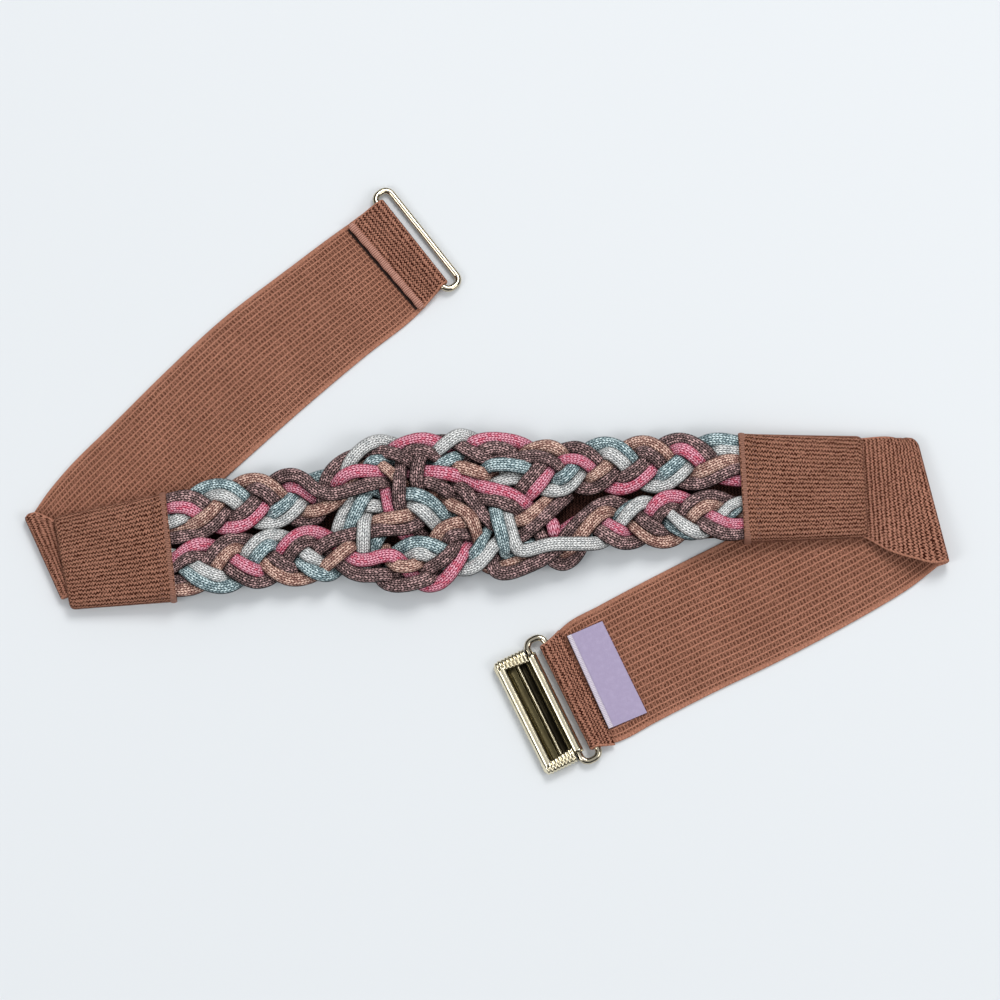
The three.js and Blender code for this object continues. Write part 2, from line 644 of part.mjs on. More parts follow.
// A bundle's whole route in view units: [x, y, height above the panel's middle level, half turns].
function bundleRoute(name) {
  const { left, middle, right } = BUNDLES[name];
  if (!left) return middle;
  const [leftBraid, leftTouch, leftPeriod, leftLast] = left;
  const [rightBraid, rightTouch, rightPeriod, rightFirst] = right;
  const route = [[...combPoint(COMB_LEFT, RANKS.left[name]), COMB_LEVEL, 0]];
  for (let px = BRAID_START; px <= leftLast; px += BRAID_STEP) {
    route.push([...braidPoint(leftBraid, leftTouch, leftPeriod, px), 0]);
  }
  route.push(...middle);
  const turns = middle[middle.length - 1][3];
  for (let px = rightFirst; px <= BRAID_FINISH; px += BRAID_STEP) {
    route.push([...braidPoint(rightBraid, rightTouch, rightPeriod, px), turns]);
  }
  route.push([...combPoint(COMB_RIGHT, RANKS.right[name]), COMB_LEVEL, turns]);
  return route;
}

const SETTLE_STEP = 2.7;
const SETTLE_ROUNDS = 300;
const SETTLE_LAST = 150;
const SOFT_END = 9;
const OWN_NEAR = 6;
const FINE_STEPS = 12;
const PATH_SKIP = 3;
const PATH_DIVISIONS = 1200;
const COMB_HALF = 0.6;

function cordRadius(px, py) {
  return CORD_END_RADIUS + (CORD_RADIUS - CORD_END_RADIUS) * smooth(pastMouth(px, py) / SOFT_END);
}

// A bundle's two cords, as points at even steps with a radius and the heights that hold them.
function plannedCords(name) {
  const route = bundleRoute(name);
  const curve = new THREE.CatmullRomCurve3(route.map(([px, py, z]) => (
    new THREE.Vector3(px, py, z + BRAID_LEVEL + panelLift(px)))), false, 'centripetal');
  const fine = route.length * FINE_STEPS;
  const dense = Array.from({ length: fine + 1 }, (_, i) => {
    const share = i / fine;
    const place = share * (route.length - 1);
    const k = Math.min(route.length - 2, Math.floor(place));
    const turns = route[k][3] + (route[k + 1][3] - route[k][3]) * (place - k);
    const view = curve.getPoint(share);
    return { view, turns, point: spot(view.x, view.y, view.z) };
  });
  return [1, -1].map((side, which) => {
    const line = dense.map(({ point, turns, view }, i) => {
      const ahead = dense[Math.min(i + 1, fine)].point.clone().sub(dense[Math.max(i - 1, 0)].point);
      const across = new THREE.Vector3(-ahead.y, ahead.x, 0).normalize();
      const opened = smooth(pastMouth(view.x, view.y) / SOFT_END);
      const half = PAIR_HALF * (COMB_HALF + (1 - COMB_HALF) * opened);
      const angle = Math.PI * turns;
      return point.clone().addScaledVector(across, side * half * Math.cos(angle))
        .add(new THREE.Vector3(0, 0, side * half * Math.sin(angle)));
    });
    const through = line.filter((_, i) => i % PATH_SKIP === 0 || i === fine);
    const path = new THREE.CatmullRomCurve3(through, false, 'centripetal');
    path.arcLengthDivisions = PATH_DIVISIONS;
    const steps = 2 * Math.round(path.getLength() / SETTLE_STEP / 2);
    const plan = path.getSpacedPoints(steps);
    return { colour: BUNDLES[name].colours[which], plan, points: plan.map((p) => p.clone()) };
  });
}

const WALL_SLACK = 1.15;
const MOUTH_LIP = 1.5;
const MOUTH_RISE = 0.9;

// Where a cord may be: over the backing, and inside the cuff's walls where it is in a cuff.
function limitsAt(point) {
  const px = point.x / VIEW_STEP_X + VIEW_MIDDLE.x;
  const py = VIEW_MIDDLE.y - point.y / VIEW_STEP_Y;
  const radius = cordRadius(px, py);
  const past = pastMouth(px, py);
  const low = panelLift(px) + BACKING + GAP + radius;
  const inside = Math.min(1, Math.max(0, -past / CUFF_DEPTH));
  const wall = ELASTIC + GAP + radius * WALL_SLACK;
  const high = cuffTop(inside) - wall + Math.max(0, past - MOUTH_LIP) * MOUTH_RISE;
  const [top, bottom] = cuffEdges(px);
  const room = wall - Math.max(0, past);
  return { low, high, radius, north: top - room, south: bottom + room };
}

function cuffEdges(px) {
  const sections = px < PANEL_CENTRE ? CUFFS.left : CUFFS.right;
  const [mouth, end] = [sections[0], sections[sections.length - 1]];
  const x = (px - VIEW_MIDDLE.x) * VIEW_STEP_X;
  return [[mouth.top, end.top], [mouth.bottom, end.bottom]].map(([a, b]) => (
    a.y + (b.y - a.y) * (x - a.x) / (b.x - a.x)));
}

// Two cords planned this far apart in height keep that order, and are lifted past each other.
const CLEAR_ORDER = 1.2;
const ORDER_RISE = 0.4;
const ORDER_REACH = 0.92;
const ORDER_SIDEWAYS = 0.3;
const ORDER_UP = 0.5;
const ORDER_STRENGTH = 0.15;
const TINY = 1e-6;

function pushApart(nodes, strength) {
  const push = new THREE.Vector3();
  for (let a = 0; a < nodes.length; a += 1) {
    const p = nodes[a];
    for (let b = a + 1; b < nodes.length; b += 1) {
      const q = nodes[b];
      if (p.cord === q.cord && q.place - p.place < OWN_NEAR) continue;
      const reach = p.radius + q.radius + GAP;
      const dx = p.point.x - q.point.x;
      if (dx > reach || dx < -reach) continue;
      const dy = p.point.y - q.point.y;
      if (dy > reach || dy < -reach) continue;
      push.subVectors(p.point, q.point);
      const order = p.planned - q.planned;
      const upright = Math.sign(order) * push.z;
      if (Math.abs(order) > CLEAR_ORDER && upright < reach * ORDER_RISE) {
        if (Math.hypot(dx, dy) > reach * ORDER_REACH) continue;
        push.set(dx * ORDER_SIDEWAYS, dy * ORDER_SIDEWAYS, Math.sign(order) * reach * ORDER_UP);
        push.setLength(strength * Math.min(reach, reach - upright) * ORDER_STRENGTH);
      } else {
        const distance = push.length();
        if (distance >= reach) continue;
        push.multiplyScalar(strength * (reach - distance) / Math.max(distance, TINY) / 2);
      }
      p.point.add(push);
      q.point.sub(push);
    }
  }
}

const LATE_EASE = 0.25;
const STIFFNESS = 0.3;
const HOLD = new THREE.Vector3(0.05, 0.05, 0.02);
const CONTACT = 0.8;

// Cords lie where they are planned, but soft contact pushes them clear of each other.
function settle(cords) {
  const nodes = cords.flatMap((cord, c) => cord.points.map((point, place) => (
    { cord: c, place, point, planned: cord.plan[place].z, radius: 0 })));
  for (let round = 0; round < SETTLE_ROUNDS + SETTLE_LAST; round += 1) {
    const ease = round < SETTLE_ROUNDS ? 1 : LATE_EASE;
    for (const cord of cords) {
      const old = cord.points.map((p) => p.clone());
      for (let i = 1; i < old.length - 1; i += 1) {
        const middle = old[i - 1].clone().add(old[i + 1]).multiplyScalar(0.5);
        cord.points[i].lerp(middle, STIFFNESS * ease);
        const pull = cord.plan[i].clone().sub(cord.points[i]);
        cord.points[i].add(pull.multiply(HOLD).multiplyScalar(ease ** 3));
      }
    }
    for (const node of nodes) {
      const { low, high, radius, north, south } = limitsAt(node.point);
      node.radius = radius;
      node.point.z = Math.min(Math.max(node.point.z, low), Math.max(low, high));
      node.point.y = Math.max(Math.min(node.point.y, north), south);
    }
    pushApart(nodes, CONTACT);
  }
}

const TUBE_STEP = 2;
const SQUEEZE_SAMPLES = 6;

// Points along a tube's straight steps, each with the step that it lies on.
function tubeSamples(rings) {
  return rings.slice(0, -1).flatMap((ring, step) => (
    Array.from({ length: SQUEEZE_SAMPLES + 1 }, (_, k) => (
      { step, point: ring.clone().lerp(rings[step + 1], k / SQUEEZE_SAMPLES) }))));
}

// Where cords press on each other they are squeezed thinner, and keep the gap.
function squeeze(cords) {
  for (const cord of cords) {
    cord.rings = cord.points.filter((_, i) => i % TUBE_STEP === 0);
    cord.samples = tubeSamples(cord.rings);
  }
  for (const cord of cords) {
    const free = cord.rings.map(() => Infinity);
    for (const { step, point } of cord.samples) {
      let nearest = Infinity;
      for (const other of cords) {
        if (other === cord) continue;
        for (const sample of other.samples) {
          const dx = sample.point.x - point.x;
          if (dx * dx < nearest) nearest = Math.min(nearest, point.distanceToSquared(sample.point));
        }
      }
      const radius = (Math.sqrt(nearest) - GAP) / 2;
      free[step] = Math.min(free[step], radius);
      free[step + 1] = Math.min(free[step + 1], radius);
    }
    cord.radii = cord.rings.map((point, i) => Math.min(limitsAt(point).radius, free[i]));
  }
}

function cordBody(cord) {
  return tubeBody(cord.rings, (i) => cord.radii[i], CORD_SIDES);
}

const BACKING_RUN = { from: 146, to: 768, step: 12 };
const BACKING_HALF = { inCuff: 43, between: 53, from: 185, to: 734 };

// The backing is narrower where it goes into the cuffs.
function backingBody() {
  const rows = [];
  for (let px = BACKING_RUN.from; px <= BACKING_RUN.to; px += BACKING_RUN.step) {
    const py = panelMiddle(px);
    const between = px >= BACKING_HALF.from && px <= BACKING_HALF.to;
    const half = between ? BACKING_HALF.between : BACKING_HALF.inCuff;
    const z = panelLift(px) + BACKING / 2;
    rows.push([spot(px, py - half, z), spot(px, py + half, z)]);
  }
  return stripBody(rows, () => BACKING);
}

const LABEL = 0.4;

function labelBody() {
  const z = ELASTIC + GAP + LABEL / 2;
  const rows = [[spot(570, 637, z), spot(611, 727, z)], [spot(602, 622, z), spot(646, 712, z)]];
  return stripBody(rows, () => LABEL);
}

// The whole belt

const ELASTIC_LOOK = material(COLOURS.elastic, 0.9);
const CUFF_LOOK = material(COLOURS.cuff, 0.9);
const BRASS_LOOK = material(COLOURS.brass, 0.3, 0.9);

const whole = new THREE.Group();
whole.add(named('left_elastic', strapBody(leftStrap), ELASTIC_LOOK));
whole.add(named('right_elastic', strapBody(rightStrap), ELASTIC_LOOK));
whole.add(named('backing_elastic', backingBody(), material(COLOURS.backing, 0.95)));
whole.add(named('left_cuff', cuffBody(CUFFS.left), CUFF_LOOK));
whole.add(named('right_cuff', cuffBody(CUFFS.right), CUFF_LOOK));
whole.add(named('label', labelBody(), material(COLOURS.label, 0.5)));

const cords = Object.keys(BUNDLES).flatMap((name) => plannedCords(name)
  .map((cord) => ({ ...cord, name: `cord_${name}_${cord.colour}` })));
settle(cords);
squeeze(cords);
for (const cord of cords) {
  whole.add(named(cord.name, cordBody(cord), material(COLOURS[cord.colour], 0.8)));
}

whole.add(hangOnHem(named('end_ring', ringBody(RING_LENGTH), BRASS_LOOK), leftHem, RING_TILT));
whole.add(hangOnHem(named('clasp_ring', ringBody(LOOP_LENGTH), BRASS_LOOK), rightHem, LOOP_TILT));

const claspHolder = hangOnHem(named('clasp_plate', claspBody(), BRASS_LOOK), rightHem, 0);
claspHolder.position.addScaledVector(rightHem.outward, RING_SPACING * Math.cos(LOOP_TILT)).setZ(BAR_HEIGHT);
whole.add(claspHolder);

whole.updateMatrixWorld(true);
const box = new THREE.Box3().setFromObject(whole, true);
whole.position.set(-(box.min.x + box.max.x) / 2, -(box.min.y + box.max.y) / 2, -box.min.z);

const belt = new THREE.Group();
belt.add(whole);
export default belt;
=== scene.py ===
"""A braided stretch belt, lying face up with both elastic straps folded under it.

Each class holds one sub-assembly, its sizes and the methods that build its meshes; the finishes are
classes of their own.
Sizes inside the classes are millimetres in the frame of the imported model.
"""

import json
import logging
import math
from dataclasses import dataclass, field
from enum import Enum

import bpy
import numpy as np
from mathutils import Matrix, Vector


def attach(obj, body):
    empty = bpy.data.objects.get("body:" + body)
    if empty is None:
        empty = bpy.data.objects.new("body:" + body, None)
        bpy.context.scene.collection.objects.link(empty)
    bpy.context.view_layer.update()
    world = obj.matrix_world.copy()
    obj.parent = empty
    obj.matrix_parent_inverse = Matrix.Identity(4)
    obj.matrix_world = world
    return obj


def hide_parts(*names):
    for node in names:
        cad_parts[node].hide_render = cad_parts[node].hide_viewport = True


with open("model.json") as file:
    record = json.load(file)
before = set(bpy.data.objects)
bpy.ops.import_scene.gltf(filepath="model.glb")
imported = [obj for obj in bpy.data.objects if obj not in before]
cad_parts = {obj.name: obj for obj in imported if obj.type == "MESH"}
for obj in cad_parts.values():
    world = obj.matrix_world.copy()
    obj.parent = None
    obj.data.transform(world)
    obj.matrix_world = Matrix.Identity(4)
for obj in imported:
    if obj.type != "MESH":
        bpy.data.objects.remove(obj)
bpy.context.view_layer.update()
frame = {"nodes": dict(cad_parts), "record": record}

LOG = logging.getLogger("belt")

MM = 0.001
# The top view's units in millimetres, the place in it that they count from, and where that is.
VIEW_STEP = (0.4545, 0.4615)
VIEW_MIDDLE = (487.0, 484.0)
SHIFT = (-0.454, -1.136)
# The straps' thickness, how high their middle lies on the floor, and the gap between layers.
ELASTIC = 1.6
FLOOR_MID = ELASTIC / 2
GAP = 0.3
# Where the points that round a sheet's long edge lie, up and out, in half thicknesses.
EDGE_TURNS = np.radians([36, 72, 108, 144])
EDGE_UP, EDGE_OUT = np.cos(EDGE_TURNS)[:, None], np.sin(EDGE_TURNS)[:, None]
CLOTH_MAP = "Cloth"
Array = np.ndarray
Socket = bpy.types.NodeSocket
Sockets = dict[str, Socket]
Material = bpy.types.Material
Pair = tuple[float, float]
Triple = tuple[float, float, float]
Colour = Triple
Points = list[Pair]
Row = tuple[Array, Array]


class Body(Enum):
    """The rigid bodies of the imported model."""

    BELT = "belt"
    END_RING = "end_ring"
    CLASP_RING = "clasp_ring"
    CLASP_PLATE = "clasp_plate"


# Points, lines and skins


def spot(px: float, py: float, z: float = 0.0) -> Array:
    """A place of the top view, in millimetres.

    Args:
        px: how far right the place is, in view units.
        py: how far down it is, in view units.
        z: its height in millimetres.

    Returns:
        The point in the frame of the model.
    """
    x = (px - VIEW_MIDDLE[0]) * VIEW_STEP[0] + SHIFT[0]
    y = (VIEW_MIDDLE[1] - py) * VIEW_STEP[1] + SHIFT[1]
    return np.array([x, y, z])


def edges(px: float, py: float, qx: float, qy: float, pz: float = 0.0, qz: float = 0.0) -> Row:
    """The two edge points of a row, from their places in the top view and their heights."""
    return spot(px, py, pz), spot(qx, qy, qz)


def unit(vectors: Array) -> Array:
    """The vectors at length one."""
    return vectors / np.maximum(np.linalg.norm(vectors, axis=-1, keepdims=True), 1e-9)


def ease(share: Array | float) -> Array | float:
    """A smooth step from 0 to 1."""
    held = np.clip(share, 0.0, 1.0)
    return held * held * (3 - 2 * held)


def between(start: Array | float, end: Array | float, share: Array | float) -> Array | float:
    """The value or point that lies so much of the way from one to another."""
    return start * (1 - share) + end * share


def travelled(points: Array) -> Array:
    """How far along its line each point lies."""
    return np.concatenate([[0.0], np.cumsum(np.linalg.norm(np.diff(points, axis=0), axis=1))])


def flow(points: Array, counts: list[int]) -> Array:
    """A smooth line through points of any dimension.

    Args:
        points: the points that the line goes through.
        counts: how many steps each of its spans is cut into.

    Returns:
        The points of the line, the given ones among them.
    """
    knots = travelled(points) + np.arange(len(points)) * 1e-6
    slopes = np.gradient(points, knots, axis=0)
    pieces = []
    for k, count in enumerate(counts):
        t = (np.arange(count) / count)[:, None]
        span = knots[k + 1] - knots[k]
        pieces.append(
            (2 * t**3 - 3 * t**2 + 1) * points[k]
            + (t**3 - 2 * t**2 + t) * span * slopes[k]
            + (3 * t**2 - 2 * t**3) * points[k + 1]
            + (t**3 - t**2) * span * slopes[k + 1]
        )
    return np.concatenate([*pieces, points[-1:]])


def even_counts(points: Array, step: float) -> list[int]:
    """Steps of about one length for each span of a line."""
    spans = np.linalg.norm(np.diff(points, axis=0), axis=1)
    return [max(1, math.ceil(span / step)) for span in spans]


@dataclass
class Skin:
    """Rows of points joined into one skin, whose UVs are distances in millimetres."""

    points: Array
    across: Array
    along: Array
    around: bool = False
    ring: bool = False
    capped: bool = False
    slots: Array | None = None

    def faces(self) -> tuple[list[tuple[int, ...]], Array, Array]:
        """The skin's faces.

        Returns:
            The faces as vertex numbers, the UV of every corner, and each face's material number.
        """
        rows, columns = self.points.shape[:2]
        i, j = np.meshgrid(
            np.arange(rows if self.ring else rows - 1),
            np.arange(columns if self.around else columns - 1),
            indexing="ij",
        )
        i, j = i.ravel(), j.ravel()
        corners = [(i, j), (i, j + 1), (i + 1, j + 1), (i + 1, j)]
        quads = np.stack([(a % rows) * columns + b % columns for a, b in corners], axis=1)
        places = np.stack([np.stack([self.across[b], self.along[a]], 1) for a, b in corners], 1)
        faces = [tuple(quad) for quad in quads.tolist()]
        maps = [places.reshape(-1, 2)]
        numbers = [np.zeros(len(faces), int) if self.slots is None else self.slots[j]]
        if self.capped:
            for row, order in ((0, np.arange(columns)[::-1]), (rows - 1, np.arange(columns))):
                faces.append(tuple((row * columns + order).tolist()))
                along = np.full(columns, self.along[row])
                maps.append(np.stack([self.across[order], along], axis=1))
                numbers.append(np.zeros(1, int))
        return faces, np.concatenate(maps), np.concatenate(numbers)


def assemble(name: str, skins: list[Skin], finishes: list[Material]) -> bpy.types.Object:
    """One object from several skins.

    Args:
        name: the piece's name.
        skins: its skins, in millimetres in the frame.
        finishes: its materials, which the skins' slots count.

    Returns:
        The new object, smooth shaded, with its normals turned outward.
    """
    vertices, faces, maps, numbers, start = [], [], [], [], 0
    for skin in skins:
        own_faces, own_map, own_numbers = skin.faces()
        flat = skin.points.reshape(-1, 3)
        vertices.append(flat)
        faces.extend(tuple(v + start for v in face) for face in own_faces)
        maps.append(own_map)
        numbers.append(own_numbers)
        start += len(flat)
    mesh = bpy.data.meshes.new(name)
    mesh.from_pydata((np.concatenate(vertices) * MM).tolist(), [], faces)
    layer = mesh.uv_layers.new(name=CLOTH_MAP)
    layer.uv.foreach_set("vector", np.concatenate(maps).astype(np.float32).ravel())
    for finish in finishes:
        mesh.materials.append(finish)
    mesh.polygons.foreach_set("material_index", np.concatenate(numbers).astype(np.int32))
    turn_outward(mesh)
    mesh.shade_smooth()
    piece = bpy.data.objects.new(name, mesh)
    bpy.context.scene.collection.objects.link(piece)
    return piece


def turn_outward(mesh: bpy.types.Mesh) -> None:
    """Flips the whole mesh if it encloses a negative volume.

    Args:
        mesh: the mesh, which is closed.
    """
    mesh.update()
    mesh.calc_loop_triangles()
    spots = np.zeros(len(mesh.vertices) * 3)
    mesh.vertices.foreach_get("co", spots)
    spots = spots.reshape(-1, 3)
    corners = np.zeros(len(mesh.loop_triangles) * 3, np.int32)
    mesh.loop_triangles.foreach_get("vertices", corners)
    a, b, c = (spots[corners.reshape(-1, 3)[:, k]] for k in range(3))
    if (a * np.cross(b, c)).sum() < 0:
        mesh.flip_normals()


def add_piece(
    name: str, skins: list[Skin], finishes: list[Material], body: Body, slot: str, *nodes: str
) -> bpy.types.Object:
    """Builds a piece, puts it on its body, hides the plain solids that it stands for, and reports
    it.

    Args:
        name: the piece's name.
        skins: its skins, in millimetres in the frame.
        finishes: its materials, which the skins' slots count.
        body: what it moves with.
        slot: the record's material slot; not used.
        nodes: the plain solids that it stands for.

    Returns:
        The new object.
    """
    piece = assemble(name, skins, finishes)
    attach(piece, body.value)
    if nodes:
        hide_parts(*nodes)
    LOG.info("%s: %d faces on %s", piece.name, len(piece.data.polygons), body.value)
    return piece


def shell(
    grid: Array, thickness: float, outer: int, width: float | None = None, twin: bool = True
) -> Skin:
    """A sheet with a real thickness and rounded long edges.

    Args:
        grid: the middle surface, as rows of points from one long edge to the other.
        thickness: the sheet's thickness.
        outer: 1 or -1, the side of the grid that is the sheet's outer face.
        width: the flat width that the UVs count, or None for the real one.
        twin: whether the inner face has a material of its own.

    Returns:
        The closed skin.
    """
    rows, columns = grid.shape[:2]
    down, over = np.gradient(grid, axis=0), np.gradient(grid, axis=1)
    normal = unit(np.cross(down, over)) * outer
    side = unit(over)
    half = thickness / 2

    def rounded(column: int, sign: int) -> Array:
        """The points that round the sheet's edge at one of its sides, from its outer face."""
        middle, up, out = grid[:, [column]], normal[:, [column]], side[:, [column]] * sign
        return middle + half * (up * EDGE_UP + out * EDGE_OUT)

    upper, lower = grid + normal * half, (grid - normal * half)[:, ::-1]
    loop = np.concatenate([upper, rounded(-1, 1), lower, rounded(0, -1)[:, ::-1]], axis=1)
    real = travelled(grid[rows // 2])
    places = real if width is None else real / real[-1] * width
    count = len(EDGE_TURNS)
    across = np.concatenate(
        [places, np.full(count, places[-1]), places[::-1], np.full(count, places[0]), places[:1]]
    )
    slots = np.zeros(loop.shape[1], int)
    if twin:
        slots[columns - 1 :] = 1
    along = travelled(grid[:, columns // 2])
    return Skin(loop, across, along, around=True, capped=True, slots=slots)


def tube(
    line: Array, wide: Array | float, high: Array | float, sides: int, ring: bool = False
) -> Skin:
    """A tube with an upright oval section.

    Args:
        line: the points of its middle.
        wide: half its width beside the line, one number or one for each point.
        high: half its height, likewise.
        sides: how many points go round it.
        ring: whether it closes on itself.

    Returns:
        The skin, whose UVs count turns around it and millimetres along it.
    """
    if ring:
        forward = unit(np.roll(line, -1, axis=0) - np.roll(line, 1, axis=0))
    else:
        forward = unit(np.gradient(line, axis=0))
    beside = unit(np.cross(forward, [0.0, 0.0, 1.0]))
    for _ in range(2):
        beside = unit(beside + 0.5 * np.roll(beside, 1, axis=0) + 0.5 * np.roll(beside, -1, axis=0))
        if not ring:
            beside[0], beside[-1] = beside[1], beside[-2]
    beside = unit(beside - forward * (beside * forward).sum(axis=1, keepdims=True))
    upward = np.cross(beside, forward)
    turns = np.arange(sides) * 2 * math.pi / sides
    wide, high = (np.broadcast_to(v, (len(line),))[:, None, None] for v in (wide, high))
    points = (
        line[:, None]
        + beside[:, None] * wide * np.cos(turns)[None, :, None]
        + upward[:, None] * high * np.sin(turns)[None, :, None]
    )
    along = travelled(np.concatenate([line, line[:1]]) if ring else line)
    across = np.arange(sides + 1) / sides
    return Skin(points, across, along, around=True, ring=ring, capped=not ring)


# Materials


class Tree:
    """A short way to write the nodes of one material or one group."""

    def __init__(self, tree: bpy.types.NodeTree) -> None:
        """Starts writing in a node tree."""
        self.tree = tree

    def add(self, kind: str, **settings: object) -> bpy.types.Node:
        """Adds a node.

        Args:
            kind: the node's type.
            settings: its settings, by name.

        Returns:
            The new node.
        """
        node = self.tree.nodes.new(kind)
        for name, value in settings.items():
            setattr(node, name, value)
        return node

    def join(self, value: object, socket: Socket) -> None:
        """Links a socket to another, or gives it a plain value.

        Args:
            value: the socket that feeds it, or the value.
            socket: the input socket.
        """
        if isinstance(value, bpy.types.NodeSocket):
            self.tree.links.new(value, socket)
        else:
            socket.default_value = value

    def math(self, how: str, *values: object) -> Socket:
        """Works out one sum.

        Args:
            how: the sum.
            values: what goes into it.

        Returns:
            The result.
        """
        node = self.add("ShaderNodeMath", operation=how)
        for value, socket in zip(values, node.inputs):
            self.join(value, socket)
        return node.outputs[0]

    def times(self, value: object, factor: object) -> Socket:
        """A product."""
        return self.math("MULTIPLY", value, factor)

    def scaled(self, value: object, factor: object, more: object) -> Socket:
        """A product, and something more."""
        return self.math("MULTIPLY_ADD", value, factor, more)

    def rest(self, value: object) -> Socket:
        """What is left of 1."""
        return self.math("SUBTRACT", 1.0, value)

    def span(self, value: object, *ends: float) -> Socket:
        """Brings a value smoothly from one range to another.

        Args:
            value: the value.
            ends: the ends of its range, and those of the new one, which are 0 and 1 unless given.

        Returns:
            The value in the new range.
        """
        node = self.add("ShaderNodeMapRange", interpolation_type="SMOOTHSTEP")
        for number, socket in zip((value, *ends), node.inputs):
            self.join(number, socket)
        return node.outputs[0]

    def blend(self, share: object, low: object, high: object) -> Socket:
        """Mixes two colours.

        Args:
            share: how much of the second colour there is.
            low: the first colour, as a socket or as three numbers.
            high: the second colour, likewise.

        Returns:
            The mixed colour.
        """
        node = self.add("ShaderNodeMix", data_type="RGBA", clamp_factor=True)
        for value, name in ((share, "Factor_Float"), (low, "A_Color"), (high, "B_Color")):
            value = (*value, 1.0) if isinstance(value, tuple) else value
            self.join(value, next(s for s in node.inputs if s.identifier == name))
        return next(s for s in node.outputs if s.identifier == "Result_Color")

    def point(self, *parts: Socket) -> Socket:
        """Makes a vector.

        Args:
            parts: its first parts. The others are 0.

        Returns:
            The vector.
        """
        node = self.add("ShaderNodeCombineXYZ")
        for value, socket in zip(parts, node.inputs):
            self.join(value, socket)
        return node.outputs[0]

    def noise(self, place: object, scale: float, detail: float = 2.0) -> Socket:
        """Gives smooth noise at a place.

        Args:
            place: the place.
            scale: how fine the noise is.
            detail: how many finer layers it has.

        Returns:
            The noise, about 0.5 on average.
        """
        node = self.add("ShaderNodeTexNoise")
        self.join(place, node.inputs["Vector"])
        node.inputs["Scale"].default_value = scale
        node.inputs["Detail"].default_value = detail
        return node.outputs["Fac"]

    def crest(self, phase: object) -> Socket:
        """How far a phase is from the middle of its period: 0 there, and 1 at its ends."""
        share = self.math("FRACT", phase)
        return self.math("ABSOLUTE", self.scaled(share, 2.0, -1.0))

    def place(self, group: bpy.types.NodeTree, **values: object) -> bpy.types.Node:
        """Places a node group.

        Args:
            group: the group.
            values: its inputs, by name, as sockets or numbers.

        Returns:
            The group's node.
        """
        node = self.add("ShaderNodeGroup", node_tree=group)
        for name, value in values.items():
            self.join(value, node.inputs[name])
        return node

    def cloth_place(self) -> tuple[Socket, Socket]:
        """Finds where a point lies on the cloth.

        Returns:
            How far across it and how far along it, in millimetres.
        """
        node = self.add("ShaderNodeUVMap", uv_map=CLOTH_MAP)
        parts = self.add("ShaderNodeSeparateXYZ")
        self.join(node.outputs["UV"], parts.inputs[0])
        return parts.outputs[0], parts.outputs[1]


def open_group(
    name: str, takes: dict[str, float], gives: list[str]
) -> tuple[Tree, Sockets, Sockets]:
    """Starts a shader node group.

    Args:
        name: the group's name.
        takes: its inputs, each a number, and what they are unless set.
        gives: the names of its outputs, each a number.

    Returns:
        The tree to write in, the inputs to read, and the outputs to fill.
    """
    tree = bpy.data.node_groups.new(name, "ShaderNodeTree")
    number = "NodeSocketFloat"
    for key, value in takes.items():
        socket = tree.interface.new_socket(name=key, in_out="INPUT", socket_type=number)
        socket.default_value = value
    for key in gives:
        tree.interface.new_socket(name=key, in_out="OUTPUT", socket_type=number)
    write = Tree(tree)
    start, end = write.add("NodeGroupInput"), write.add("NodeGroupOutput")
    return write, {k: start.outputs[k] for k in takes}, {k: end.inputs[k] for k in gives}


